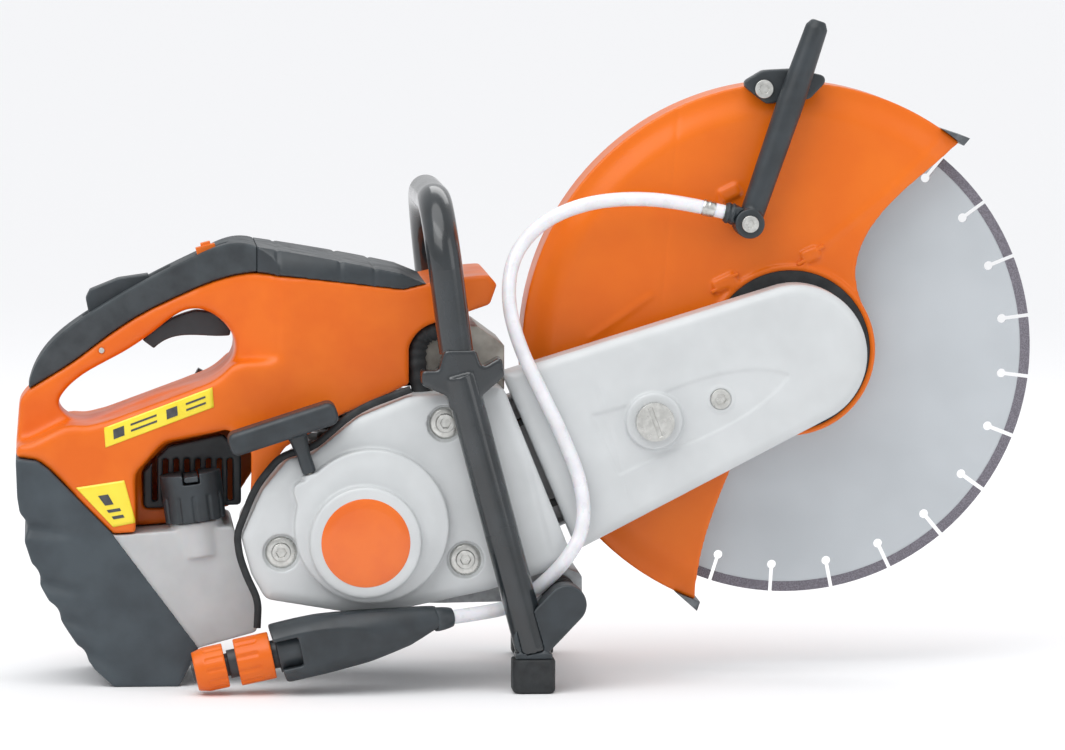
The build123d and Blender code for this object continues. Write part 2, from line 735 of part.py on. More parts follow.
def make_handle_housing():
    half = body_half_width
    shell = slab(housing_face() - opening_face(), -half, half) & hood_profile()
    shell -= flare_cut()
    wall = half - 2 - housing_wall
    body_room = polygon([(-214, 90), (-214, 214), (-196, 221), (-88, 225), (-88, 90)])
    shell -= slab(body_room, -wall, wall)
    hood_room = polygon([(-196, 218), (-196, 262), (-186, 285), (-138, 280), (-88, 273), (-56, 280),
                         (-30, 282), (-30, 272), (-62, 261), (-78, 254), (-88, 240), (-88, 218)])
    shell -= slab(hood_room, -wall, wall) & flare_room(wall)
    shell -= slab(polygon([(-92, 190), (-58, 190), (-58, 253.5), (-78, 253.5), (-92, 262)]), -48, 48)
    rear = polygon([(-326, 168), (-296, 112), (-212, 118), (-212, 214), (-240, 200), (-300, 179)])
    shell -= slab(rear, niche_back_y + 3, wall)
    niche = polygon([(-276, 100), (-276, 150), (-256, 172), (-212, 180), (-196, 168), (-196, 100)])
    shell -= slab(niche, -half - 5, niche_back_y)
    shell -= slab(offset(starter_face(), 1.0), -half - 5, casting_front_y + 1)
    shell -= slab(grille_face(), niche_back_y - 1, niche_back_y + 4)
    shell -= control_slots()
    shell -= Pos(crank_x, half - 10, head_top_z - 14) * Rot(90, 0, 0) * Cylinder(9, 30)
    for x, z, radius in choke_and_primer():
        shell -= disc(x, z, radius, half - 16, half + 1)
    return shell - handle_pin_solids()[0] - handle_pin_solids()[1]


def choke_and_primer():
    return [(-236, 196, 5.0), (-276, 180, 10.0)]


def control_slots():
    """Room inside the grip for the trigger and the lock lever to swing."""
    lock = polygon([(-313, 300), (-313, 262), (-304, 229), (-293, 229), (-250, 264), (-250, 300)])
    trigger = polygon([(-274, 238), (-274, 256), (-250, 270), (-205, 270), (-200, 246), (-214, 236)])
    return slab(lock, -8.5, 8.5) + slab(trigger, -7.5, 7.5)


def make_grip_cover():
    top_edge = [(-203, 311), (-228, 303), (-267, 284), (-308, 260), (-335, 239), (-351, 207)]
    face = outline(strip_line, [(-190, 309)], top_edge)
    cover = slab(face, -body_half_width, body_half_width) & hood_profile()
    cover = cover - flare_cut() - control_slots()
    return cover - stop_recess()


def stop_recess():
    return Pos(-222, -12, 306.5) * Rot(0, -14, 0) * Box(24, 10, 11)


def make_stop_slider():
    slide = Pos(-225, -12, 304.5) * Rot(0, -14, 0)
    body = slide * Box(14, 9.4, 6)
    knob = Pos(-225.4, -12, 308.4) * Rot(0, -14, 0) * Box(7, 7, 3)
    return body + knob


def make_filter_cover():
    face = outline([(-190, 309)], [(-178, 307), (-138, 300), (-89, 290)], [(-72, 283)], [(-88, 279)],
                   [(-138, 285)], [(-190, 291)])
    cover = slab(face, -body_half_width, body_half_width) & hood_profile()
    return cover - flare_cut()


def grille_face():
    return rounded([(-270, 122), (-270, 148), (-252, 166), (-214, 174), (-201, 162), (-201, 124)], 3.0)


def make_intake_grille():
    grille = slab(grille_face(), niche_back_y - 3.5, niche_back_y + 4)
    for i in range(8):
        slot = Pos(-262 + i * 7.6, 142) * Rectangle(3.6, 30)
        grille -= slab(slot, niche_back_y - 4, niche_back_y + 5)
    return grille


def handle_pin_solids():
    return [disc(*lock_pin, 2.0, -grip_half_width, grip_half_width),
            disc(*trigger_pin, 2.0, -grip_half_width + 4, grip_half_width - 4)]


def make_handle_pins():
    return Compound(handle_pin_solids())


def make_throttle_lock():
    face = polygon([(-310, 270), (-307, 276), (-287, 284), (-266, 287), (-264, 283), (-278, 274),
                    (-291, 252), (-294, 231), (-304, 231), (-306, 250)])
    return slab(face, -8, 8) - disc(*lock_pin, 2.0 + running, -9, 9)


def make_throttle_trigger():
    face = outline([(-262, 234)], [(-243, 243), (-226, 243), (-208, 243)], [(-207, 258)], [(-232, 261)],
                   [(-255, 252), (-270, 240)])
    return slab(face, -7, 7) - disc(*trigger_pin, 2.0 + running, -8, 8)


def make_choke_knob():
    x, z, radius = choke_and_primer()[0]
    wall = body_half_width - 2
    knob = disc(x, z, radius - running, wall - 3.9, wall + 2)
    knob += disc(x, z, 11.0, wall + clear, wall + 7)
    lever = Pos(x, z) * Rot(0, 0, 60) * Pos(9, 0) * Rectangle(20, 6)
    return knob + slab(lever, wall + clear, wall + 10)


def make_primer_bulb():
    x, z, radius = choke_and_primer()[1]
    wall = body_half_width - 2
    bulb = disc(x, z, radius - 0.5, wall - 3.5, wall + 1)
    dome = Pos(x, wall + 1, z) * Sphere(radius - 0.5)
    return bulb + (dome & disc(x, z, radius, wall + 1, wall + 10))


def make_decompression_button():
    wall = body_half_width - 2
    place = Pos(crank_x, 0, head_top_z - 14) * Rot(-90, 0, 0)
    stem = extrude(place * Pos(0, 0, 40) * Circle(3.0), wall - 38)
    cap = extrude(place * Pos(0, 0, wall - 3) * Circle(8.0), 10)
    return stem + cap


def edge_route():
    points = [(-84, 211), (-122, 197), (-153, 170), (-175, 165), (-193, 143), (-206, 110), (-204, 94),
              (-199, 80), (-191, 63), (-192, 44)]
    return [(x, starter_plate_y + 4, z) for x, z in points]


def make_edge_seal():
    points = edge_route()
    path = FilletPolyline(*points, radius=corner_radii(points, 0.4))
    return sweep(Plane(origin=path @ 0, z_dir=path % 0) * Circle(2.6), path=path)


# ---------------------------------------------------------------- handlebar, feet and mounts
def strut_ends():
    top = (star_x, -loop_half_width - 6, star_z)
    foot = (foot_x, -foot_half_width, foot_height + 4)
    return top, foot


def bar_route():
    top_z = loop_top_z - tube_r
    return [(star_x - 2, -loop_half_width, star_z + 16), (star_x - 15, -loop_half_width + 1, top_z),
            (star_x - 15, loop_half_width - 1, top_z), (star_x - 2, loop_half_width + 4, star_z),
            (far_foot_x, foot_half_width, foot_height + 4)]


def make_handlebar():
    path = FilletPolyline(*bar_route(), radius=[46.0, 46.0, 80.0])
    section = Circle(tube_r) - Circle(tube_r - tube_wall)
    return sweep(Plane(origin=path @ 0, z_dir=path % 0) * section, path=path)


def star_face():
    return rounded([(-78, 226), (-66, 226), (-62, 240), (-40, 240), (-36, 228), (-22, 236), (-20, 222),
                    (-36, 208), (-38, 200), (-58, 198), (-60, 208), (-78, 216)], 2.5)


def make_handlebar_strut():
    top, foot = strut_ends()
    strut = rod(top, foot, tube_r)
    strut += slab(star_face(), -loop_half_width - 14, starter_plate_y)
    bar = bar_route()
    return strut - rod(bar[0], bar[1], tube_r)


def bracket_face(leg_x):
    leg = circle_at(leg_x, foot_height + 14, 14.0)
    return make_hull([leg.edge(), circle_at(mount_x, mount_z, 14.0).edge()])


def make_foot_brackets():
    reach = foot_half_width + 10
    near = slab(bracket_face(foot_x), -reach, buffer_near_y)
    near += Pos(foot_x, -foot_half_width, foot_height + 2) * Box(26, 22, 4)
    far = slab(bracket_face(far_foot_x), -buffer_near_y, reach)
    far += Pos(far_foot_x, foot_half_width, foot_height + 2) * Box(26, 22, 4)
    return Compound([near - rod(*strut_ends(), tube_r), far - rod(*bar_route()[-2:], tube_r)])


def make_av_buffers():
    parts = []
    for low, high in ((buffer_near_y, casting_back_y), (40.0, -buffer_near_y)):
        buffer = disc(mount_x, mount_z, buffer_r, low, high)
        for step in (-12, 0, 12):
            middle = (low + high) / 2 + step
            buffer -= ring(mount_x, mount_z, buffer_r + 1, buffer_r - 2, middle - 3, middle + 3)
        parts.append(buffer)
    return Compound(parts)


def make_rubber_feet():
    feet = []
    for x, side in ((foot_x, -1), (far_foot_x, 1)):
        foot = Pos(x, side * foot_half_width, foot_height / 2) * Box(30, 28, foot_height)
        foot = fillet(foot.edges().filter_by(Axis.Z), 6.0)
        foot = chamfer(foot.edges().group_by(Axis.Z)[0], 2.0)
        feet.append(foot)
    return Compound(feet)


# ---------------------------------------------------------------- water feed
def corner_radii(points, share=0.45):
    """The arc radius at each inner point of a route, as large as its two runs allow."""
    radii = []
    for before, here, after in zip(points, points[1:], points[2:]):
        first = Vector(*here) - Vector(*before)
        second = Vector(*after) - Vector(*here)
        half_turn = math.radians(first.get_angle(second)) / 2
        radii.append(share * min(first.length, second.length) / math.tan(half_turn))
    return radii


def hose_route():
    fitting = polar(105.0, 113.0)
    over_y = lever_y - 1.0
    return [
        (-62, -103, 52), (-37, -95, 54), (-12, -87.5, 58), (7, -90, 73), (24, -97, 91), (37, -92, 113),
        (36, hose_y - 1, 143), (23, hose_y - 1, 176), (7, hose_y - 1, 209), (-8, hose_y, 240),
        (-16, -76, 271), (-12, -65, 302), (8, -56, 325), (38, over_y - 2, 338), (72, over_y, 342),
        (108, over_y, 339), (fitting[0] - 8, over_y, fitting[1] + 3),
    ]


def make_water_hose():
    points = hose_route()
    radii = corner_radii(points)
    path = FilletPolyline(*points, radius=radii)
    hose = sweep(Plane(origin=path @ 0, z_dir=path % 0) * Circle(hose_r), path=path)
    print("hose length %.1f  section x length %.0f  volume %.0f" % (
        path.length, path.length * math.pi * hose_r**2, hose.volume))
    print("hose radii " + " ".join("%.0f" % r for r in radii))
    return hose


def make_hose_fitting():
    """The barbed elbow on the guard that the hose is pushed against."""
    end = Vector(*hose_route()[-1])
    aim = (end - Vector(*hose_route()[-2])).normalized()
    tip = end + aim * 10
    elbow = rod(end, tip, 6.6)
    for barb in (1.5, 5.0):
        elbow += rod(end + aim * barb, end + aim * (barb + 2), 7.6)
    post = disc(tip.X, tip.Z, 6.0, tip.Y - 6, -guard_half_width)
    return elbow + post - make_guard_lever()


def coupling_point(distance):
    turn = math.radians(coupling_slope)
    return (-195.0 + distance * math.cos(turn), coupling_y, 25.0 + distance * math.sin(turn))


def coupling_rod(start, end, radius, end_radius=None):
    return rod(coupling_point(start), coupling_point(end), radius, end_radius)


def coupling_notches(start, depth, count, centre_r, radius):
    """Round cuts along the coupling's axis, spaced round its rim."""
    turn = math.radians(coupling_slope)
    place = Plane(origin=coupling_point(start), z_dir=(math.cos(turn), 0, math.sin(turn)))
    rim = Sketch()
    for i in range(count):
        rim += Rot(0, 0, 360 / count * i) * (Pos(centre_r, 0) * Circle(radius))
    return extrude(place * rim, depth)


def make_hose_sleeve():
    points = [(-186, 50), (-153, 56), (-68, 61), (-64, 48), (-86, 34), (-113, 23), (-145, 15), (-172, 9)]
    face = rounded(points, 3.0)
    block = slab(face, coupling_y - 18, coupling_y + 20)
    aim = (1, 0, 0.21)
    cone = loft([Plane(origin=coupling_point(8), z_dir=aim) * Circle(21),
                 Plane(origin=coupling_point(60), z_dir=aim) * Circle(21),
                 Plane(origin=(-62, coupling_y + 3, 52), z_dir=aim) * Circle(8.5)])
    sleeve = cone & block
    sleeve -= coupling_rod(-10, 60, 13.5)
    window = Pos(coupling_point(22)) * Rot(0, -coupling_slope, 0) * Box(22, 60, 20)
    sleeve -= window & slab(face, coupling_y - 20, coupling_y - 8)
    return sleeve - coupling_rod(60, 140, hose_r)


def make_coupling_body():
    body = coupling_rod(-18, 60, 10.0) + coupling_rod(17, 60, 13.5) + coupling_rod(-44, -14, 8.0)
    return body - coupling_rod(-44, 60, inlet_r)


def make_coupling_collar():
    collar = coupling_rod(-12, 13, 16.5) - coupling_notches(-12, 16, 10, 17.6, 2.2)
    return collar - coupling_rod(-18, 17, 10.0 + running)


def make_hose_nut():
    nut = coupling_rod(-42, -34, 13.5, 15.5) + coupling_rod(-34, -20, 15.5)
    nut -= coupling_notches(-34, 14, 12, 16.4, 1.8)
    return nut - coupling_rod(-44, -18, 8.0 + running)


# ---------------------------------------------------------------- starter
def make_starter_reel():
    low, high = rope_y - 5, rope_y + 5
    reel = ring(crank_x, crank_z, reel_flange_r, 8.0 + running, low, high)
    core_r = reel_groove_r - rope_r - clear
    return reel - ring(crank_x, crank_z, reel_flange_r + 1, core_r, rope_y - 3, rope_y + 3)


def make_starter_rope():
    return rod(pull_point(1.0), pull_point(65.0), rope_r)


def make_starter_grip():
    stem = rod(pull_point(57.0), pull_point(72.0), 5.0)
    stem += rod(pull_point(72.0), pull_point(88.0), 5.0, 7.5)
    stem -= rod(pull_point(50), pull_point(65.0), rope_r)
    side = (pull[1], -pull[0])
    centre = along(along(rope_start, pull, 93.0), side, -8.0)
    bar = Pos(*centre) * Rot(0, 0, pull_angle - 90) * Rectangle(grip_bar_length, grip_bar_height)
    bar = fillet(bar.vertices(), 6.0)
    solid = slab(bar, rope_y - 14, rope_y + 14)
    long_edges = solid.edges().filter_by(GeomType.LINE).filter_by(lambda e: abs((e % 0).Y) < 0.1)
    return stem + fillet(long_edges, 4.0)


sub_parts = {
    "blade_core": make_blade_core,
    "blade_segments": make_blade_segments,
    "thrust_washers": make_thrust_washers,
    "spindle": make_spindle,
    "blade_bolt": make_blade_bolt,
    "spindle_pulley": make_spindle_pulley,
    "guard_shell": make_guard_shell,
    "guard_tips": make_guard_tips,
    "guard_lever": make_guard_lever,
    "guard_bracket": make_guard_bracket,
    "guard_bolts": make_guard_bolts,
    "arm_casting": make_arm_casting,
    "bearings": make_bearings,
    "drive_belt": make_drive_belt,
    "belt_cover": make_belt_cover,
    "starter_cover": make_starter_cover,
    "cover_screws": make_cover_screws,
    "tensioner_nut": make_tensioner_nut,
    "crankcase": make_crankcase,
    "cylinder": make_cylinder,
    "spark_plug": make_spark_plug,
    "piston": make_piston,
    "crankshaft": make_crankshaft,
    "clutch_drum": make_clutch_drum,
    "clutch_shoes": make_clutch_shoes,
    "flywheel": make_flywheel,
    "fan_cover": make_fan_cover,
    "carburettor": make_carburettor,
    "muffler": make_muffler,
    "air_filter": make_air_filter,
    "fuel_tank": make_fuel_tank,
    "fuel_cap": make_fuel_cap,
    "fuel_cap_wing": make_fuel_cap_wing,
    "rear_bumper": make_rear_bumper,
    "handle_housing": make_handle_housing,
    "grip_cover": make_grip_cover,
    "stop_slider": make_stop_slider,
    "filter_cover": make_filter_cover,
    "intake_grille": make_intake_grille,
    "handle_pins": make_handle_pins,
    "throttle_lock": make_throttle_lock,
    "throttle_trigger": make_throttle_trigger,
    "choke_knob": make_choke_knob,
    "primer_bulb": make_primer_bulb,
    "decompression_button": make_decompression_button,
    "edge_seal": make_edge_seal,
    "handlebar": make_handlebar,
    "handlebar_strut": make_handlebar_strut,
    "foot_brackets": make_foot_brackets,
    "av_buffers": make_av_buffers,
    "rubber_feet": make_rubber_feet,
    "water_hose": make_water_hose,
    "hose_fitting": make_hose_fitting,
    "hose_sleeve": make_hose_sleeve,
    "coupling_body": make_coupling_body,
    "coupling_collar": make_coupling_collar,
    "hose_nut": make_hose_nut,
    "starter_reel": make_starter_reel,
    "starter_rope": make_starter_rope,
    "starter_grip": make_starter_grip,
}

os.makedirs("parts", exist_ok=True)
for node, make in sub_parts.items():
    export_step(make(), "parts/%s.step" % node)
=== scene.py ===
import json
import math

import bmesh
import bpy
import numpy as np
from mathutils import Matrix, Vector

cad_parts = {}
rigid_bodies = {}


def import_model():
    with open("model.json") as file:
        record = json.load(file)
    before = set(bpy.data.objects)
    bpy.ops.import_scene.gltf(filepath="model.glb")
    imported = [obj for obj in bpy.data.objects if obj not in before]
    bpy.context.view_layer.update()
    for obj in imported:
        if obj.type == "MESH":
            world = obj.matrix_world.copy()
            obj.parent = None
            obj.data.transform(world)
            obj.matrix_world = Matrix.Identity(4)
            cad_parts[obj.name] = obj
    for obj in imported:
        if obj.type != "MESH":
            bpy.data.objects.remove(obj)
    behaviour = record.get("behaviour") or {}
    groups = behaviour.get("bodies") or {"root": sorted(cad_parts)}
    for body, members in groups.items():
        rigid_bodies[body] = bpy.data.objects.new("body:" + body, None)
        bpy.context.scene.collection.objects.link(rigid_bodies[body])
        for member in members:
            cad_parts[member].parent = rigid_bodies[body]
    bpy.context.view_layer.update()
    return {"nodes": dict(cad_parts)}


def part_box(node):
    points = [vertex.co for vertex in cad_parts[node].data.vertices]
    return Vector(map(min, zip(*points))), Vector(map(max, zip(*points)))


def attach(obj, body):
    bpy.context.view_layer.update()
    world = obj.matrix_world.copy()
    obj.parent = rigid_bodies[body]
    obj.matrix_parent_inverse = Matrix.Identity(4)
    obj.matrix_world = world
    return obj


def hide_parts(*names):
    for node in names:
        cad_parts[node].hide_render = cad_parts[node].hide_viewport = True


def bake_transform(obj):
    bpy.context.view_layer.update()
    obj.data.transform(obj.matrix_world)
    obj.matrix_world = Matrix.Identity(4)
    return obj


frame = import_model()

# Petrol rescue saw. Metres outside, millimetres in the numbers written here. +X is the
# blade end, -Y the starter side, +Z up.
MM = 0.001


def middle(node):
    """The centre of a CAD node's box, in millimetres."""
    low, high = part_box(node)
    return [(a + b) / 2 / MM for a, b in zip(low, high)]


def edge(node, axis, high=False):
    """One face of a CAD node's box, in millimetres: axis 0, 1 or 2, low side or high side."""
    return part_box(node)[1 if high else 0][axis] / MM


spindle_x, _, spindle_z = middle("blade_core")
crank_x, _, crank_z = middle("starter_reel")
guard_half = edge("guard_shell", 1, True)
guard_r = edge("guard_shell", 2, True) - spindle_z
boss_proud, dome_height, ring_height = 4.0, 10.0, 14.0
belt_face_y = edge("belt_cover", 1) + boss_proud
dome_face_y = edge("starter_cover", 1)
plate_face_y = dome_face_y + dome_height + ring_height
cover_screws = ((-175, 97), (-60, 187), (-46, 91))

# ---------------------------------------------------------------- camera, floor and light
view_turn, view_tilt, view_distance = math.radians(-4.0), math.radians(5.0), 5.0
view_target = Vector((0.007, 0.0, 0.213))


def look_from(target, turn, tilt, distance):
    """A place at a turn round Z from straight in front of the starter side, and a tilt up."""
    back = Vector((math.sin(turn) * math.cos(tilt), -math.cos(turn) * math.cos(tilt), math.sin(tilt)))
    return target + back * distance, back.to_track_quat("Z", "Y")


def add_camera():
    data = bpy.data.cameras.new("studio_camera")
    data.sensor_width = 36.0
    data.lens = 237.6
    data.clip_end = 200.0
    camera = bpy.data.objects.new("studio_camera", data)
    camera.location, turn = look_from(view_target, view_turn, view_tilt, view_distance)
    camera.rotation_euler = turn.to_euler()
    bpy.context.scene.collection.objects.link(camera)
    bpy.context.scene.camera = camera


def add_softbox(name, turn, tilt, distance, size, power):
    data = bpy.data.lights.new(name, "AREA")
    data.shape = "RECTANGLE"
    data.size, data.size_y = size
    data.energy = power
    box = bpy.data.objects.new(name, data)
    box.location, aim = look_from(view_target, math.radians(turn), math.radians(tilt), distance)
    box.rotation_euler = aim.to_euler()
    bpy.context.scene.collection.objects.link(box)


def add_daylight():
    data = bpy.data.lights.new("overhead_light", "SUN")
    data.energy = 1.22
    data.angle = math.radians(60.0)
    sun = bpy.data.objects.new("overhead_light", data)
    sun.rotation_euler = (math.radians(18.0), math.radians(-14.0), 0.0)
    bpy.context.scene.collection.objects.link(sun)


def linear(code):
    """An sRGB hex colour as the linear colour that a shader takes."""
    parts = [int(code[i:i + 2], 16) / 255 for i in (1, 3, 5)]
    return tuple(p / 12.92 if p <= 0.04045 else ((p + 0.055) / 1.055) ** 2.4 for p in parts) + (1.0,)


def node(tree, kind, inputs=None, **settings):
    """Adds one shader node with its settings; an input is a value, or another node's output."""
    made = tree.nodes.new("ShaderNode" + kind)
    for name, value in settings.items():
        setattr(made, name, value)
    for name, value in (inputs or {}).items():
        if isinstance(value, bpy.types.NodeSocket):
            tree.links.new(value, made.inputs[name])
        else:
            made.inputs[name].default_value = value
    return made


def add_room():
    world = bpy.data.worlds.new("pale_room")
    bpy.context.scene.world = world
    world.use_nodes = True
    background = world.node_tree.nodes["Background"]
    background.inputs["Color"].default_value = linear("#F4F5F7")
    background.inputs["Strength"].default_value = 0.66
    reach = 40.0
    mesh = bpy.data.meshes.new("studio_floor")
    mesh.from_pydata([(-reach, -reach, 0), (reach, -reach, 0), (reach, reach, 0), (-reach, reach, 0)], [],
                     [(0, 1, 2, 3)])
    floor = bpy.data.objects.new("studio_floor", mesh)
    bpy.context.scene.collection.objects.link(floor)
    paint = bpy.data.materials.new("matt_white_floor_paint")
    paint.use_nodes = True
    shader = paint.node_tree.nodes["Principled BSDF"]
    shader.inputs["Base Color"].default_value = linear("#F6F6F7")
    shader.inputs["Roughness"].default_value = 0.7
    mesh.materials.append(paint)


add_camera()
add_room()
add_daylight()
add_softbox("softbox_left", -38, 40, 1.9, (1.6, 1.0), 9)
add_softbox("softbox_right", 48, 22, 2.2, (0.9, 1.4), 4)
add_softbox("softbox_back", 165, 45, 2.2, (1.8, 1.0), 9)
bpy.context.scene.view_settings.view_transform = "Standard"
bpy.context.scene.view_settings.exposure = 0.1


# ---------------------------------------------------------------- finishes
# A spark-eroded plastic grain is really about 0.2 mm, and grinding or turning lines lie under
# 0.2 mm apart. Both are drawn 2 to 5 times coarser, so that they show.
def per_mm(size):
    """The noise scale at which one feature is this many millimetres across."""
    return 1.0 / (size * MM)


def ring_scale(pitch):
    """The wave scale at which lines lie this many millimetres apart."""
    return math.tau / (20.0 * pitch * MM)


class Finish:
    """A material with a principled shader, in its piece's own coordinates."""

    def __init__(self, name, **sockets):
        self.material = bpy.data.materials.new(name)
        self.material.use_nodes = True
        self.tree = self.material.node_tree
        self.shader = self.tree.nodes["Principled BSDF"]
        self.place = node(self.tree, "TexCoord").outputs["Object"]
        self.tone = None
        self.height = None
        for socket, value in sockets.items():
            self.shader.inputs[socket.replace("_", " ")].default_value = value

    def pattern(self, kind, size, output="Fac", **inputs):
        """One pattern's level, its features this many millimetres across."""
        made = node(self.tree, kind, {"Vector": self.place, "Scale": per_mm(size), **inputs})
        return made.outputs[output]

    def tint(self, share, low, high):
        """Sets the colour: low where the share is 0, high where it is 1."""
        # On a colour mix, socket 0 is the share, 6 and 7 the two colours, and output 2 the result.
        mix = node(self.tree, "Mix", {0: share, 6: low, 7: high}, data_type="RGBA")
        self.tone = mix.outputs[2]
        self.tree.links.new(self.tone, self.shader.inputs["Base Color"])
        return self

    def colour(self, low, high, level, start=0.35, end=0.65):
        """Lets the colour drift between two close tones as a pattern's level rises."""
        share = node(self.tree, "MapRange", {"Value": level, "From Min": start, "From Max": end})
        return self.tint(share.outputs["Result"], linear(low), linear(high))

    def lighter_edges(self, code, start=0.53, end=0.6, amount=0.7):
        """Blends the finish to another tone along outer (convex) edges; on the orange plastic that lighter
        tone is a painted highlight.
        """
        corner = node(self.tree, "NewGeometry").outputs["Pointiness"]
        patchy = self.pattern("TexNoise", 7.0, Detail=4.0)
        patchy = node(self.tree, "Math", {0: patchy, 1: 0.04}, operation="MULTIPLY").outputs[0]
        edge_level = node(self.tree, "Math", {0: corner, 1: patchy}, operation="ADD").outputs[0]
        share = node(self.tree, "MapRange", {"Value": edge_level, "From Min": start, "From Max": end,
                                             "To Max": amount})
        return self.tint(share.outputs["Result"], self.tone, linear(code))

    def gloss(self, low, high, size):
        """Lets the roughness drift, as handling leaves it."""
        handled = self.pattern("TexNoise", size, Detail=2.0)
        level = node(self.tree, "MapRange", {"Value": handled, "From Min": 0.3, "From Max": 0.7,
                                             "To Min": low, "To Max": high})
        self.tree.links.new(level.outputs["Result"], self.shader.inputs["Roughness"])
        return self

    def relief(self, height, depth, strength=1.0):
        """Adds one layer of surface height, depth in millimetres."""
        bump = node(self.tree, "Bump", {"Height": height, "Distance": depth * MM, "Strength": strength})
        if self.height:
            self.tree.links.new(self.height.outputs["Normal"], bump.inputs["Normal"])
        self.height = bump
        self.tree.links.new(bump.outputs["Normal"], self.shader.inputs["Normal"])
        return self


def powder_coated_steel():
    """Pressed steel with baked powder paint: bright, with the faint orange peel of melted powder."""
    paint = Finish("powder_coated_pressed_steel", Roughness=0.34, Specular_IOR_Level=0.3,
                   Coat_Weight=0.15, Coat_Roughness=0.15)
    paint.colour("#DE6605", "#E46E0A", paint.pattern("TexNoise", 60.0, Detail=3.0))
    paint.gloss(0.3, 0.42, 45.0)
    return paint.relief(paint.pattern("TexNoise", 2.2, Detail=2.0), 0.02)


def orange_polyamide():
    """Glass-filled nylon, injection moulded: an even satin with a fine spark-eroded grain."""
    shell = Finish("injection_moulded_orange_polyamide", Roughness=0.36, IOR=1.53,
                   Specular_IOR_Level=0.35)
    shell.colour("#DA6208", "#E16B0F", shell.pattern("TexNoise", 35.0, Detail=3.0))
    # Painted highlight: the outer edges of the orange plastic are lightened towards its lit tone.
    shell.lighter_edges("#EA8A48", 0.56, 0.66, 0.3)
    shell.gloss(0.3, 0.44, 25.0)
    shell.relief(shell.pattern("TexNoise", 0.8, Detail=2.0), 0.012)
    return shell.relief(shell.pattern("TexNoise", 9.0, Detail=1.0), 0.05)


def pale_polyamide():
    """Painted nylon cover: pale silver grey, softly shiny, with a fine even grain."""
    shell = Finish("painted_moulded_polyamide", Roughness=0.36, IOR=1.5, Coat_Weight=0.15,
                   Coat_Roughness=0.2)
    shell.colour("#C2C5C6", "#CACDCE", shell.pattern("TexNoise", 40.0, Detail=3.0))
    shell.gloss(0.3, 0.42, 30.0)
    return shell.relief(shell.pattern("TexNoise", 0.9, Detail=2.0), 0.01)


def blow_moulded_polyethylene():
    """The tank's polyethylene: milky, waxy, and slightly wavy from blowing."""
    wall = Finish("blow_moulded_polyethylene", Roughness=0.42, IOR=1.5, Subsurface_Weight=0.12,
                  Subsurface_Scale=0.004)
    wall.colour("#B2B3B4", "#BCBDBE", wall.pattern("TexNoise", 30.0, Detail=3.0))
    wall.relief(wall.pattern("TexNoise", 12.0, Detail=1.0), 0.12)
    return wall.relief(wall.pattern("TexNoise", 1.0, Detail=2.0), 0.01)


def dark_polyamide():
    """Black glass-filled nylon: a fine eroded grain, greyed along its outer edges."""
    shell = Finish("injection_moulded_black_polyamide", Roughness=0.42, IOR=1.53)
    shell.colour("#23292D", "#2E353A", shell.pattern("TexNoise", 18.0, Detail=3.0))
    shell.lighter_edges("#5E666B", 0.54, 0.66, 0.5)
    shell.gloss(0.36, 0.52, 15.0)
    return shell.relief(shell.pattern("TexNoise", 0.7, Detail=3.0), 0.02)


def bumper_polyamide():
    """The rear guard's tough matt plastic: blue grey with a coarse cast grain, lighter along its outer
    edges.
    """
    shell = Finish("textured_grey_polyamide", Roughness=0.55, IOR=1.5)
    shell.colour("#343C42", "#3F484E", shell.pattern("TexNoise", 26.0, Detail=3.0))
    shell.lighter_edges("#6A7378", 0.55, 0.66, 0.5)
    shell.gloss(0.46, 0.62, 18.0)
    return shell.relief(shell.pattern("TexNoise", 1.1, Detail=4.0), 0.045)


def lacquered_aluminium():
    """Die-cast aluminium under silver lacquer: satin, with the slight ripple of the die."""
    cast = Finish("lacquered_die_cast_aluminium", Metallic=0.35, Roughness=0.4, Coat_Weight=0.2)
    cast.colour("#BFC2C4", "#C9CCCE", cast.pattern("TexNoise", 30.0, Detail=3.0))
    cast.relief(cast.pattern("TexNoise", 1.2, Detail=3.0), 0.02)
    return cast.relief(cast.pattern("TexNoise", 14.0, Detail=1.0), 0.06)


def bare_aluminium():
    """Die-cast aluminium as it leaves the die: grey, dull and pebbled."""
    cast = Finish("bare_die_cast_aluminium", Metallic=0.85, Roughness=0.5)
    cast.colour("#96999B", "#ABAEB0", cast.pattern("TexNoise", 6.0, Detail=5.0)).gloss(0.42, 0.62, 8.0)
    return cast.relief(cast.pattern("TexNoise", 1.0, Detail=4.0), 0.05)


def ground_blade_steel():
    """Spring steel, ground flat and clear lacquered: fine rings round the arbor."""
    steel = Finish("ground_spring_steel", Metallic=0.35, Roughness=0.42)
    steel.colour("#B9BEC2", "#C0C5C9", steel.pattern("TexNoise", 70.0, Detail=2.0))
    centred = node(steel.tree, "Mapping", {"Vector": steel.place,
                   "Location": (-spindle_x * MM, 0.0, -spindle_z * MM)})
    rings = node(steel.tree, "TexWave", {"Vector": centred.outputs[0], "Scale": ring_scale(0.9),
                 "Distortion": 1.5, "Detail": 2.0, "Detail Scale": 3.0}, wave_type="RINGS",
                 rings_direction="Y")
    return steel.gloss(0.36, 0.5, 30.0).relief(rings.outputs["Fac"], 0.008)


def diamond_sinter():
    """Sintered bronze and diamond grit: dark, dull and rough, grit drawn at 0.8 mm to show."""
    bond = Finish("sintered_diamond_segment", Metallic=0.45, Roughness=0.65)
    grit = bond.pattern("TexVoronoi", 0.8, "Distance")
    return bond.colour("#5C5960", "#85818A", grit, 0.1, 0.7).relief(grit, 0.15)


def turned_steel():
    """Lathe-turned steel: bright, with close tool rings."""
    steel = Finish("turned_steel", Metallic=1.0, Roughness=0.28)
    steel.colour("#A9ABAD", "#BFC1C3", steel.pattern("TexNoise", 5.0, Detail=4.0))
    lines = node(steel.tree, "TexWave", {"Vector": steel.place, "Scale": ring_scale(0.4), "Distortion": 0.6},
                 bands_direction="Y")
    return steel.relief(lines.outputs["Fac"], 0.006)


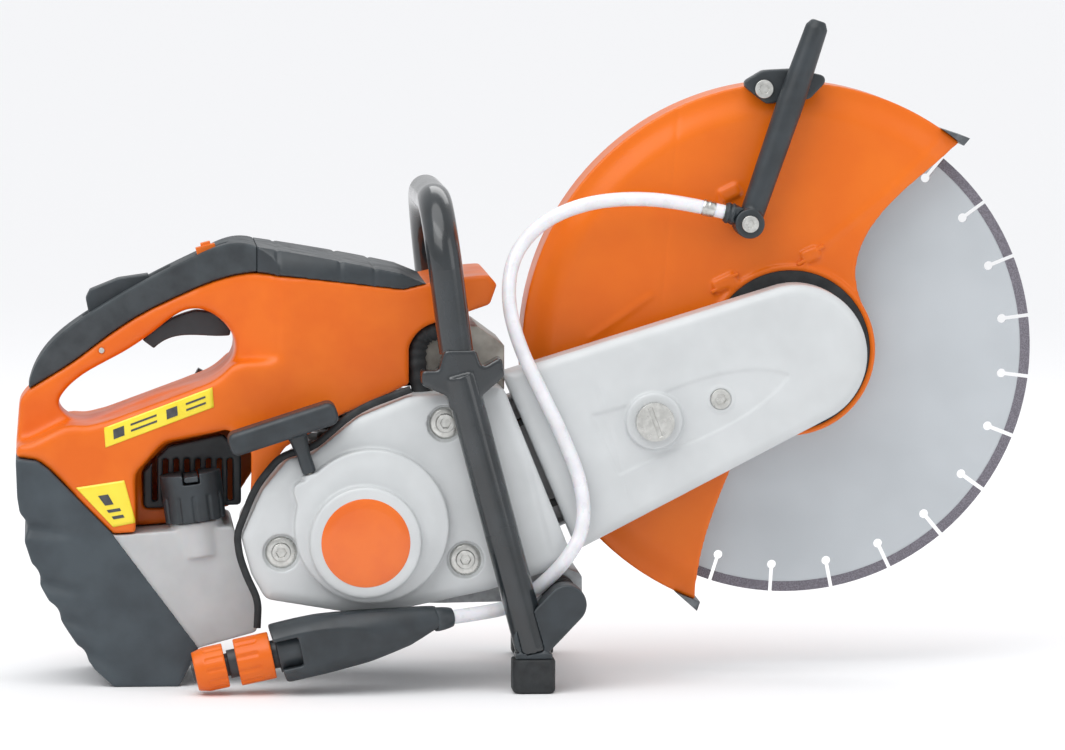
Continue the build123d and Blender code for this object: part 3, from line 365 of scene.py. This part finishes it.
def shaded_spring_steel():
    """Hardened steel strip on the guard's lips: its dark grey is partly the steel's own tone and partly
    painted shade; scuffed and softly bright.
    """
    strip = Finish("hardened_spring_steel", Metallic=0.9, Roughness=0.4)
    strip.colour("#5A5D60", "#74787B", strip.pattern("TexNoise", 5.0, Detail=4.0)).gloss(0.32, 0.5, 6.0)
    return strip.relief(strip.pattern("TexNoise", 0.8, Detail=3.0), 0.01)


def zinc_plate():
    """Zinc-plated steel: pale and softly bright, slightly clouded."""
    plate = Finish("zinc_plated_steel", Metallic=1.0, Roughness=0.32)
    plate.colour("#BDBDB9", "#D3D3CF", plate.pattern("TexNoise", 4.0, Detail=4.0)).gloss(0.24, 0.42, 6.0)
    return plate.relief(plate.pattern("TexNoise", 0.6, Detail=3.0), 0.008)


def black_tube_coat():
    """Steel tube with a thick glossy black coat, which mirrors the lights in long streaks."""
    coat = Finish("gloss_coated_steel_tube", Roughness=0.24, Coat_Weight=0.6, Coat_Roughness=0.08)
    coat.colour("#1B2023", "#252B2F", coat.pattern("TexNoise", 22.0, Detail=3.0)).gloss(0.18, 0.3, 30.0)
    return coat.relief(coat.pattern("TexNoise", 3.0, Detail=2.0), 0.015)


def soft_black_overmould():
    """Soft thermoplastic over the grip: matt, a little dusty, with a tight leather grain."""
    skin = Finish("thermoplastic_rubber_grip", Roughness=0.58, IOR=1.5)
    skin.colour("#2A3034", "#373E42", skin.pattern("TexNoise", 14.0, Detail=3.0))
    skin.lighter_edges("#565E62", 0.55, 0.68, 0.4)
    cells = node(skin.tree, "TexVoronoi", {"Vector": skin.place, "Scale": per_mm(1.3)},
                 feature="DISTANCE_TO_EDGE")
    return skin.gloss(0.48, 0.66, 12.0).relief(cells.outputs["Distance"], 0.05, 0.6)


def moulded_rubber():
    """Natural rubber: deep matt black with a bloom of grey."""
    rubber = Finish("moulded_natural_rubber", Roughness=0.72, IOR=1.52)
    rubber.colour("#191B1D", "#26292B", rubber.pattern("TexNoise", 9.0, Detail=4.0))
    return rubber.gloss(0.6, 0.8, 8.0).relief(rubber.pattern("TexNoise", 1.0, Detail=4.0), 0.04)


def clear_pvc_hose():
    """Milky PVC hose: light passes a little way in, and fine lines run along it from the die."""
    wall = Finish("extruded_milky_pvc", Roughness=0.3, IOR=1.54, Subsurface_Weight=0.25,
                  Subsurface_Scale=0.003, Coat_Weight=0.2)
    wall.colour("#DEDEE2", "#E8E8EC", wall.pattern("TexNoise", 12.0, Detail=3.0)).gloss(0.24, 0.38, 10.0)
    return wall.relief(wall.pattern("TexNoise", 1.6, Detail=2.0), 0.02)


def braided_nylon():
    """Starter rope: braided nylon, pale with a fleck every other strand."""
    rope = Finish("braided_nylon_rope", Roughness=0.6, Sheen_Weight=0.3)
    plait = node(rope.tree, "TexWave", {"Vector": rope.place, "Scale": ring_scale(1.6), "Distortion": 0.4},
                 bands_direction="DIAGONAL")
    rope.colour("#B9B4A6", "#DAD6CA", plait.outputs["Fac"], 0.2, 0.8)
    return rope.relief(plait.outputs["Fac"], 0.25)


def filter_paper():
    """Pleated filter paper: cream and fibrous, darker in the pleats' troughs and lighter on their crests as
    painted shade and light.
    """
    paper = Finish("pleated_filter_paper", Roughness=0.85)
    pleats = node(paper.tree, "TexWave", {"Vector": paper.place, "Scale": ring_scale(4.0)},
                  bands_direction="Y")
    # Painted shade and light: the colour follows the pleat wave, darker in the troughs, lighter on the
    # crests.
    paper.colour("#CDBF97", "#E0D4B2", pleats.outputs["Fac"], 0.1, 0.9)
    return paper.relief(pleats.outputs["Fac"], 0.8)


def heated_muffler_steel():
    """Stainless sheet, straw and brown where the exhaust has heated it."""
    sheet = Finish("heat_tinted_stainless_sheet", Metallic=1.0, Roughness=0.38)
    sheet.colour("#8F8A82", "#B4B0A8", sheet.pattern("TexNoise", 16.0, Detail=5.0)).gloss(0.3, 0.5, 9.0)
    return sheet.relief(sheet.pattern("TexNoise", 2.0, Detail=3.0), 0.03)


def yellow_vinyl():
    """Printed vinyl label: clear yellow under a thin gloss film."""
    vinyl = Finish("printed_vinyl_label", Roughness=0.3, Coat_Weight=0.4, Coat_Roughness=0.1)
    vinyl.colour("#EBD321", "#F1DB36", vinyl.pattern("TexNoise", 20.0, Detail=3.0))
    return vinyl.relief(vinyl.pattern("TexNoise", 3.0, Detail=2.0), 0.01)


def grey_print():
    """Screen-printed ink on the labels: a dull dark grey."""
    ink = Finish("screen_printed_ink", Roughness=0.5)
    ink.colour("#3B3D40", "#484A4D", ink.pattern("TexNoise", 4.0, Detail=3.0))
    return ink.relief(ink.pattern("TexNoise", 0.7, Detail=3.0), 0.005)


def signal_orange_disc():
    """Doming resin over an orange print: smooth, bright and slightly crowned."""
    disc = Finish("domed_resin_badge", Roughness=0.22, Coat_Weight=0.5, Coat_Roughness=0.06)
    disc.colour("#DC6106", "#E2690C", disc.pattern("TexNoise", 25.0, Detail=3.0))
    return disc.relief(disc.pattern("TexNoise", 8.0, Detail=1.0), 0.01)


finishes = {
    "guard_paint": powder_coated_steel(),
    "orange_plastic": orange_polyamide(),
    "light_grey_plastic": pale_polyamide(),
    "tank_plastic": blow_moulded_polyethylene(),
    "dark_plastic": dark_polyamide(),
    "bumper_plastic": bumper_polyamide(),
    "lacquered_casting": lacquered_aluminium(),
    "bare_casting": bare_aluminium(),
    "blade_steel": ground_blade_steel(),
    "diamond_segment": diamond_sinter(),
    "machined_steel": turned_steel(),
    "zinc_steel": zinc_plate(),
    "tube_coating": black_tube_coat(),
    "rubber": moulded_rubber(),
    "hose_pvc": clear_pvc_hose(),
    "rope_nylon": braided_nylon(),
    "filter_paper": filter_paper(),
    "muffler_steel": heated_muffler_steel(),
}
grip_skin = soft_black_overmould()
vinyl = yellow_vinyl()
ink = grey_print()
badge_resin = signal_orange_disc()
shaded_lip_steel = shaded_spring_steel()


# ---------------------------------------------------------------- mesh tools
def present(piece, body, slot, finish=None):
    """Gives a piece its finish, smooth shading and the body it rides on."""
    piece.data.materials.clear()
    piece.data.materials.append((finish or finishes[slot]).material)
    piece.data.shade_smooth()
    if body:
        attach(piece, body)


def new_piece(name, mesh, body, slot, finish=None):
    piece = bpy.data.objects.new(name, mesh)
    bpy.context.scene.collection.objects.link(piece)
    present(piece, body, slot, finish)
    return piece


def settle(piece):
    """Turns a piece's modifiers into its mesh."""
    graph = bpy.context.evaluated_depsgraph_get()
    old = piece.data
    piece.data = bpy.data.meshes.new_from_object(piece.evaluated_get(graph))
    piece.modifiers.clear()
    bpy.data.meshes.remove(old)


def points_of(piece):
    flat = np.empty(len(piece.data.vertices) * 3)
    piece.data.vertices.foreach_get("co", flat)
    return flat.reshape(-1, 3) / MM


def move_points(piece, points):
    piece.data.vertices.foreach_set("co", (points * MM).ravel())
    piece.data.update()


def smooth_step(value, low, high):
    t = np.clip((value - low) / (high - low), 0.0, 1.0)
    return t * t * (3 - 2 * t)


def relax(piece, passes, weights=None):
    """Rounds a piece's edges by evening its points out, more where the weights are higher."""
    soft = piece.modifiers.new("soft", "SMOOTH")
    soft.factor = 0.5
    soft.iterations = passes
    if weights is not None:
        group = piece.vertex_groups.new(name="soft")
        for index, weight in enumerate(weights):
            if weight > 0.01:
                group.add([index], float(weight), "REPLACE")
        soft.vertex_group = group.name
    settle(piece)
    piece.vertex_groups.clear()


def body_of(node_name):
    return frame["nodes"][node_name].parent.name.split(":")[1]


def slot_of(node_name):
    return frame["nodes"][node_name].material_slots[0].material.name.split(".")[0]


def moulded(node_name, voxel, passes, shape=None, weights=None, extra=0, finish=None):
    """A CAD node's solid as an evenly meshed form with real rounded edges, which stands for it."""
    mesh = frame["nodes"][node_name].data.copy()
    piece = bpy.data.objects.new(node_name + "_form", mesh)
    bpy.context.scene.collection.objects.link(piece)
    even = piece.modifiers.new("even", "REMESH")
    even.mode = "VOXEL"
    even.voxel_size = voxel * MM
    settle(piece)
    if shape:
        move_points(piece, shape(points_of(piece)))
    if extra:
        relax(piece, extra, weights(points_of(piece)))
    relax(piece, passes)
    present(piece, body_of(node_name), slot_of(node_name), finish)
    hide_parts(node_name)
    return piece


def from_rings(name, rings, body, slot, finish=None, closed=False):
    """Skins a list of point rings, one after another; the ends are filled unless it is closed."""
    count = len(rings[0])
    points = [tuple(c * MM for c in p) for loop in rings for p in loop]
    faces = []
    steps = len(rings) if closed else len(rings) - 1
    for i in range(steps):
        a, b = i * count, (i + 1) % len(rings) * count
        for j in range(count):
            k = (j + 1) % count
            faces.append((a + j, a + k, b + k, b + j))
    if not closed:
        faces.append(tuple(reversed(range(count))))
        faces.append(tuple(range((len(rings) - 1) * count, len(rings) * count)))
    mesh = bpy.data.meshes.new(name)
    mesh.from_pydata(points, [], faces)
    tidy = bmesh.new()
    tidy.from_mesh(mesh)
    bmesh.ops.recalc_face_normals(tidy, faces=tidy.faces)
    tidy.to_mesh(mesh)
    tidy.free()
    piece = new_piece(name, mesh, body, slot, finish)
    mesh.set_sharp_from_angle(angle=math.radians(40))
    return piece


def turned(name, x, z, profile, body, slot, finish=None, sides=64, closed=False):
    """A form turned about an axis along Y: profile is (radius, y) points."""
    rings = []
    for radius, y in profile:
        rings.append([(x + radius * math.cos(math.tau * i / sides), y,
                       z + radius * math.sin(math.tau * i / sides)) for i in range(sides)])
    return from_rings(name, rings, body, slot, finish, closed)


def tube_rings(path, radius, sides=20):
    """Rings round a line of points; radius is a number or a function of the share along it."""
    places = [Vector(p) for p in path]
    rings = []
    side = None
    for i, here in enumerate(places):
        run = (places[min(i + 1, len(places) - 1)] - places[max(i - 1, 0)]).normalized()
        if side is None:
            side = run.orthogonal().normalized()
        side = (side - run * side.dot(run)).normalized()
        other = run.cross(side)
        r = radius(i / (len(places) - 1)) if callable(radius) else radius
        rings.append([tuple(here + side * (r * math.cos(math.tau * k / sides))
                            + other * (r * math.sin(math.tau * k / sides))) for k in range(sides)])
    return rings


def smooth_line(name, route, resolution=12):
    """Points along the NURBS line that has the route's points as its control points."""
    line = bpy.data.curves.new(name, "CURVE")
    line.dimensions = "3D"
    spline = line.splines.new("NURBS")
    spline.points.add(len(route) - 1)
    for point, place in zip(spline.points, route):
        point.co = (*[v * MM for v in place], 1.0)
    spline.order_u = 3
    spline.use_endpoint_u = True
    spline.resolution_u = resolution
    holder = bpy.data.objects.new(name, line)
    mesh = bpy.data.meshes.new_from_object(holder)
    points = [tuple(v.co / MM) for v in mesh.vertices]
    bpy.data.objects.remove(holder)
    return points


def segment_distance(points, start, end):
    """How far each point's side view (x, z) is from a straight line between two places."""
    start, end = np.array(start), np.array(end)
    run = end - start
    flat = points[:, [0, 2]] - start
    t = np.clip(flat @ run / (run @ run), 0.0, 1.0)
    return np.linalg.norm(flat - t[:, None] * run, axis=1)


def outline_distance(points, outline):
    """How far each point's side view is from a closed outline."""
    ends = outline[1:] + outline[:1]
    return np.min([segment_distance(points, a, b) for a, b in zip(outline, ends)], axis=0)


def hull(*discs):
    """The outline round several discs, each (x, z, radius)."""
    cloud = [(x + r * math.cos(math.tau * i / 48), z + r * math.sin(math.tau * i / 48))
             for x, z, r in discs for i in range(48)]
    cloud.sort()

    def half(places):
        chain = []
        for p in places:
            while len(chain) > 1 and ((chain[-1][0] - chain[-2][0]) * (p[1] - chain[-2][1])
                                      - (chain[-1][1] - chain[-2][1]) * (p[0] - chain[-2][0])) <= 0:
                chain.pop()
            chain.append(p)
        return chain[:-1]

    return half(cloud) + half(cloud[::-1])


# ---------------------------------------------------------------- water hose and starter rope
hose_route = [
    (-62, -103, 52), (-37, -95, 54), (-12, -87.5, 58), (7, -90, 73), (24, -97, 91), (37, -92, 113),
    (36, -84.6, 143), (23, -84.6, 176), (7, -84.6, 209), (-8, -83.6, 240), (-16, -76, 271), (-12, -65, 302),
    (8, -56, 325), (38, -51, 338), (72, -49, 342), (108, -49, 339), (138.97, -49, 331.65),
]
hose_r = 5.0
hose_line = smooth_line("hose_line", hose_route)
hose = from_rings("water_hose_tube", tube_rings(hose_line, hose_r, 24), None, "hose_pvc")
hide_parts("water_hose")

fitting_end = Vector(hose_route[-1])
fitting_aim = (fitting_end - Vector(hose_route[-2])).normalized()


def make_hose_clip():
    """A crimped steel band over the hose end, with raised ridges round it."""
    start = fitting_end - fitting_aim * 16
    path = [start + fitting_aim * (9.0 * i / 8) for i in range(9)]
    swell = [5.4, 5.9, 5.9, 5.6, 5.9, 5.9, 5.6, 5.9, 5.4]
    rings = tube_rings(path, lambda t: swell[round(t * 8)], 28)
    return from_rings("hose_clip", rings, "guard", "zinc_steel")


clip = make_hose_clip()
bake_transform(hose)


def make_sleeve_mouth():
    """The soft lip at the sleeve's end that closes round the hose."""
    line = hose_line[:10]
    lip = [(-7.0, 8.3), (-5.0, 8.5), (-1.0, 8.1), (3.0, 7.4), (5.5, 6.6), (6.0, 5.6)]
    start = Vector(line[0])
    run = (Vector(line[9]) - start).normalized()
    rings = [tube_rings([start + run * d, start + run * (d + 1)], r, 32)[0] for d, r in lip]
    return from_rings("sleeve_mouth", rings, "frame", "dark_plastic")


make_sleeve_mouth()


def make_starter_rope():
    """The short run of rope between the reel and the pull grip."""
    low, high = [Vector(corner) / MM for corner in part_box("starter_rope")]
    radius = (high.y - low.y) / 2
    lean = math.radians(107.8)
    middle_y = (low.y + high.y) / 2
    start = Vector((high.x - radius * math.sin(lean), middle_y, low.z - radius * math.cos(lean)))
    end = Vector((low.x + radius * math.sin(lean), middle_y, high.z + radius * math.cos(lean)))
    path = [start.lerp(end, i / 90) for i in range(91)]
    rope = from_rings("starter_rope_braid", tube_rings(path, radius - 0.1, 14), None, "rope_nylon")
    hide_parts("starter_rope")
    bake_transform(rope)


make_starter_rope()


# ---------------------------------------------------------------- guard
guard_creases = [((47, 242), (89, 271)), ((294, 379), (263, 348)), ((263, 348), (207, 303))]


def shape_guard(points):
    """Slopes the walls in to the rim, and presses the creases in the near wall."""
    flat = points[:, [0, 2]] - (spindle_x, spindle_z)
    radius = np.linalg.norm(flat, axis=1)
    slope = smooth_step(radius, guard_r - 24, guard_r - 3)
    points[:, 1] *= 1 - 0.2 * slope
    near = points[:, 1] < -guard_half * 0.75
    for start, end in guard_creases:
        gap = segment_distance(points, start, end)
        points[near, 1] -= 0.9 * np.exp(-(gap[near] / 2.2) ** 2)
    seam = segment_distance(points, (109, 405), (97, 268))
    points[near, 1] += 0.5 * np.exp(-(seam[near] / 0.9) ** 2)
    return points


moulded("guard_shell", 1.3, 7, shape_guard)


def shape_bracket(points):
    """Reaches the bracket's back down to the sloped rim."""
    back = points[:, 1] > -guard_half - 0.6
    points[back, 1] += 6.0
    return points


moulded("guard_bracket", 0.9, 10, shape_bracket)
moulded("guard_lever", 0.9, 6)
moulded("hose_fitting", 0.6, 3)


def make_hub_seal():
    """The felt-backed rubber ring that closes the gap between guard and arm."""
    y = -guard_half
    profile = [(47.5, y + 1.4), (56.4, y + 1.4), (57.0, y - 1.2), (56.2, y - 2.2), (52.5, y - 2.5),
               (48.0, y - 2.2), (47.2, y - 1.2)]
    return turned("hub_seal_ring", spindle_x, spindle_z, profile, "guard", "rubber", sides=120, closed=True)


make_hub_seal()


def rounded_box(name, centre, size, turn, body, slot, radius):
    """A moulded block, bevelled all round, turned about Y by an angle in degrees."""
    build = bmesh.new()
    bmesh.ops.create_cube(build, size=1.0)
    for vertex in build.verts:
        vertex.co = Vector([c * s for c, s in zip(vertex.co, size)])
    bmesh.ops.bevel(build, geom=list(build.edges), offset=radius, segments=3, affect="EDGES", profile=0.5)
    bmesh.ops.transform(build, matrix=Matrix.Scale(MM, 4) @ Matrix.Translation(Vector(centre))
                        @ Matrix.Rotation(math.radians(turn), 4, "Y"), verts=build.verts)
    mesh = bpy.data.meshes.new(name)
    build.to_mesh(mesh)
    build.free()
    return new_piece(name, mesh, body, slot)


def polar(radius, angle):
    turn = math.radians(angle)
    return spindle_x + radius * math.cos(turn), spindle_z + radius * math.sin(turn)


def make_guard_clips():
    """The ribs of the hose clips on the guard's near wall."""
    length, height = 14.0, 2.6
    for index, (radius, angle) in enumerate(((67, 134), (69, 78))):
        x, z = polar(radius, angle)
        for row, side in (("a", -3.4), ("b", 3.4)):
            place = (x + side, -guard_half - height / 2, z + side)
            rounded_box("guard_clip_%d%s" % (index, row), place, (length, height, height), -28,
                        "guard", "guard_paint", 0.7)


make_guard_clips()


# ---------------------------------------------------------------- arm and covers
# The side-view outlines of the two covers, as their solids have them.
belt_outline = hull((spindle_x, spindle_z, 50.0), (-18.0, 220.0, 1.0), (34.0, 97.0, 1.0))


def shape_belt_cover(points):
    """Rolls the cover's face over at its edge, as a moulded cover is."""
    gap = outline_distance(points, belt_outline)
    near = smooth_step(-points[:, 1], -belt_face_y - 14.0, -belt_face_y - 2.0)
    roll = np.clip(1 - gap / 8.0, 0.0, 1.0) ** 2
    points[:, 1] += 4.0 * roll * near
    step = segment_distance(points, (48, 212), (72, 124))
    points[:, 1] += 0.6 * np.exp(-(step / 0.9) ** 2) * near
    return points


moulded("belt_cover", 1.1, 7, shape_belt_cover)

starter_outline = [(-203, 108), (-196, 82), (-186, 64), (-133, 55), (-98, 55), (-30, 69), (31, 88),
                   (-20, 214), (-63, 207), (-86, 206), (-121, 192), (-153, 166), (-170, 163), (-188, 141)]


def shape_starter_cover(points):
    """Rolls the plate's edge over, crowns the ring and the dome, and scores two parting steps."""
    gap = outline_distance(points, starter_outline)
    depth = smooth_step(-points[:, 1], -plate_face_y - 14.0, -plate_face_y - 1.0)
    on_plate = depth * (points[:, 1] > plate_face_y - 2.0)
    points[:, 1] += 3.5 * np.clip(1 - gap / 9.0, 0.0, 1.0) ** 2 * on_plate
    flat = points[:, [0, 2]] - (crank_x + 5, crank_z + 10)
    radius = np.linalg.norm(flat, axis=1)
    on_ring = points[:, 1] < plate_face_y - 3.0
    points[on_ring, 1] += 3.0 * smooth_step(radius[on_ring], 40.0, 54.0)
    for start, end in (((-6, 205), (22, 98)), ((-14, 204), (13, 96))):
        line = segment_distance(points, start, end)
        points[:, 1] += 0.9 * np.exp(-(line / 1.0) ** 2) * on_plate
    return points


moulded("starter_cover", 1.1, 9, shape_starter_cover)
moulded("fan_cover", 1.2, 4)
moulded("arm_casting", 1.3, 4)


def make_badge():
    """A plain domed disc set in the middle of the starter dome."""
    crown = ((0.2, 1.5), (12, 1.4), (24, 1.1), (29.5, 0.7), (31.0, 0.1), (31.0, -1.2))
    profile = [(radius, dome_face_y - proud) for radius, proud in crown]
    turned("starter_badge", crank_x, crank_z, profile, "frame", "orange_plastic", badge_resin, sides=96)


make_badge()


def make_screw_washers():
    """Turned cups under the three starter cover screws."""
    for index, (x, z) in enumerate(cover_screws):
        y = plate_face_y + 5.0
        profile = [(6.8, y), (6.8, y - 1.6), (9.4, y - 1.6), (11.0, y - 0.9), (11.6, y)]
        turned("cover_washer_%d" % index, x, z, profile, "frame", "zinc_steel", sides=48, closed=True)


make_screw_washers()


# ---------------------------------------------------------------- tank, bumper and housing
# The bumper's scoops: the middle, the half length and the angle of each, seen from the side.
scoops = (((-347, 112), 24, -8), ((-341, 74), 24, -14), ((-330, 50), 22, -22), ((-312, 26), 20, -34))
scoop_depth, scoop_half_height = 4.6, 4.5


def shape_bumper(points):
    """Presses the scoops into both sides of the rear bumper, and into the tank wall behind them."""
    side = smooth_step(np.abs(points[:, 1]), 46.0, 56.0)
    for (x, z), reach, turn in scoops:
        angle = math.radians(turn)
        dx, dz = points[:, 0] - x, points[:, 2] - z
        along = (dx * math.cos(angle) + dz * math.sin(angle)) / reach
        across = (-dx * math.sin(angle) + dz * math.cos(angle)) / scoop_half_height
        press = scoop_depth * side * np.exp(-along ** 2 - across ** 2)
        points[:, 1] -= np.sign(points[:, 1]) * press
    return points


moulded("rear_bumper", 1.3, 12, shape_bumper)
moulded("fuel_tank", 1.2, 8, shape_bumper)


def loop_softness(points):
    """How much of the extra rounding each point of the housing takes: all round the rear grip."""
    near_grip = 1 - smooth_step(points[:, 0], -185.0, -150.0)
    clear_of_seam = smooth_step(points[:, 2], 128.0, 150.0)
    return near_grip * clear_of_seam


housing = moulded("handle_housing", 1.4, 10, weights=loop_softness, extra=50)


moulded("grip_cover", 1.1, 9, finish=grip_skin)
moulded("throttle_lock", 0.7, 9)
moulded("throttle_trigger", 0.7, 10)
moulded("intake_grille", 0.8, 3)
moulded("fuel_cap", 0.7, 4)
moulded("starter_grip", 0.8, 12)
moulded("hose_sleeve", 0.9, 6)
moulded("coupling_collar", 0.7, 4)
moulded("hose_nut", 0.7, 4)
moulded("rubber_feet", 0.9, 4)
moulded("handlebar_strut", 1.1, 5)
moulded("foot_brackets", 0.9, 5)


def shape_filter_cover(points):
    """Scores the lid's joint lines across the hood, and raises low ribs on its middle panel."""
    top = points[:, 2] > 293.0
    for x in (-176.0, -132.0, -108.0):
        points[:, 2] -= 1.2 * np.exp(-((points[:, 0] - x) / 0.9) ** 2)
        points[:, 1] *= 1 - 0.012 * np.exp(-((points[:, 0] - x) / 0.9) ** 2)
    ribs = 0.5 + 0.5 * np.cos(points[:, 1] * math.tau / 9.0)
    panel = smooth_step(points[:, 0], -168, -162) * (1 - smooth_step(points[:, 0], -142, -136))
    points[:, 2] -= 1.1 * ribs * panel * (np.abs(points[:, 1]) < 34.0) * top
    return points


moulded("filter_cover", 1.0, 5, shape_filter_cover)


def make_hood_gap_shade_tube():
    """A dark ribbed tube in the gap between the hood and the cylinder: painted shade, standing for the shade
    on the hood shell's inner side.
    """
    line = smooth_line("boot_line", [(-75, -50, 204), (-79, -50, 224), (-77, -50, 243), (-66, -50, 250),
                                     (-52, -50, 251)], 10)
    rings = tube_rings(line, lambda t: 6.6 + 0.5 * math.cos(t * math.tau * 9), 24)
    return from_rings("hood_side_boot", rings, "frame", "rubber")


make_hood_gap_shade_tube()


def make_label(name, corners, offset):
    """A thin printed panel laid on the housing's near wall, following its curve."""
    across, up = 26, 14
    grid = []
    a, b, c, d = [Vector((x, -75.0, z)) for x, z in corners]
    for j in range(up + 1):
        for i in range(across + 1):
            s, t = i / across, j / up
            grid.append(((a * (1 - s) + b * s) * (1 - t) + (d * (1 - s) + c * s) * t) * MM)
    faces = [(j * (across + 1) + i, j * (across + 1) + i + 1, (j + 1) * (across + 1) + i + 1,
              (j + 1) * (across + 1) + i) for j in range(up) for i in range(across)]
    mesh = bpy.data.meshes.new(name)
    mesh.from_pydata(grid, [], faces)
    piece = bpy.data.objects.new(name, mesh)
    bpy.context.scene.collection.objects.link(piece)
    lay = piece.modifiers.new("lay", "SHRINKWRAP")
    lay.target = housing
    lay.wrap_method = "PROJECT"
    lay.use_project_x = lay.use_project_z = False
    lay.use_project_y = True
    lay.use_positive_direction = lay.use_negative_direction = True
    lay.offset = offset * MM
    body = piece.modifiers.new("body", "SOLIDIFY")
    body.thickness = 0.35 * MM
    body.offset = 0.0
    settle(piece)
    return piece


def print_label(name, corners, marks):
    """A yellow panel with plain printed shapes; a mark is its middle and half size, as shares."""
    panel = make_label(name, corners, 0.25)
    present(panel, "frame", "orange_plastic", vinyl)
    a, b, c, d = [Vector((x, 0, z)) for x, z in corners]
    for index, (s, t, w, h) in enumerate(marks):
        def spot(u, v):
            return (a * (1 - u) + b * u) * (1 - v) + (d * (1 - u) + c * u) * v

        quad = [spot(s - w, t - h), spot(s + w, t - h), spot(s + w, t + h), spot(s - w, t + h)]
        mark = make_label("%s_mark_%d" % (name, index), [(p.x, p.z) for p in quad], 0.5)
        mark.data.materials.append(ink.material)
        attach(mark, "frame")


print_label("side_label", [(-297, 169), (-221, 197), (-222, 211), (-298, 183)],
            [(0.13, 0.5, 0.05, 0.24), (0.36, 0.66, 0.12, 0.05), (0.36, 0.36, 0.12, 0.05),
             (0.62, 0.5, 0.05, 0.24), (0.84, 0.66, 0.09, 0.05), (0.84, 0.36, 0.09, 0.05)])
print_label("rear_label", [(-292, 113), (-276, 116), (-284, 146), (-318, 141)],
            [(0.45, 0.2, 0.2, 0.035), (0.45, 0.36, 0.2, 0.035), (0.42, 0.62, 0.12, 0.12)])


# ---------------------------------------------------------------- CAD nodes that show as they are
def dress(node_name, finish, bevel):
    """Gives a CAD node its finish and, where it is wide enough, small rounded edges."""
    shown = frame["nodes"][node_name]
    for holder in shown.material_slots:
        holder.material = finish.material
    if bevel:
        weld = shown.modifiers.new("weld", "WELD")
        weld.merge_threshold = 0.00001
        flat = shown.modifiers.new("flat", "DECIMATE")
        flat.decimate_type = "DISSOLVE"
        flat.angle_limit = math.radians(0.5)
        soft = shown.modifiers.new("edges", "BEVEL")
        soft.width = bevel * MM
        soft.segments = 2
        soft.limit_method = "ANGLE"
        soft.angle_limit = math.radians(40)
        soft.harden_normals = True


edge_sizes = {
    "blade_core": 0.0, "blade_segments": 0.0, "thrust_washers": 0.4, "blade_bolt": 0.4, "spindle": 0.3,
    "spindle_pulley": 0.0, "guard_tips": 0.4, "guard_bolts": 0.4, "cover_screws": 0.4, "tensioner_nut": 0.5,
    "handle_pins": 0.3, "stop_slider": 0.5, "choke_knob": 0.6, "decompression_button": 0.6,
    "coupling_body": 0.5, "muffler": 0.8, "carburettor": 0.6, "spark_plug": 0.4, "fuel_cap_wing": 0.8,
    "av_buffers": 0.6, "flywheel": 0.4, "cylinder": 0.0, "crankcase": 0.8, "starter_reel": 0.4,
}

replaced = {name[:-5] for name in bpy.data.objects.keys() if name.endswith("_form")}
replaced |= {"water_hose", "starter_rope"}
for name in frame["nodes"]:
    if name not in replaced:
        # The guard tips take the steel finish whose dark tone is partly painted shade.
        finish = shaded_lip_steel if name == "guard_tips" else finishes[slot_of(name)]
        dress(name, finish, edge_sizes.get(name, 0.0))
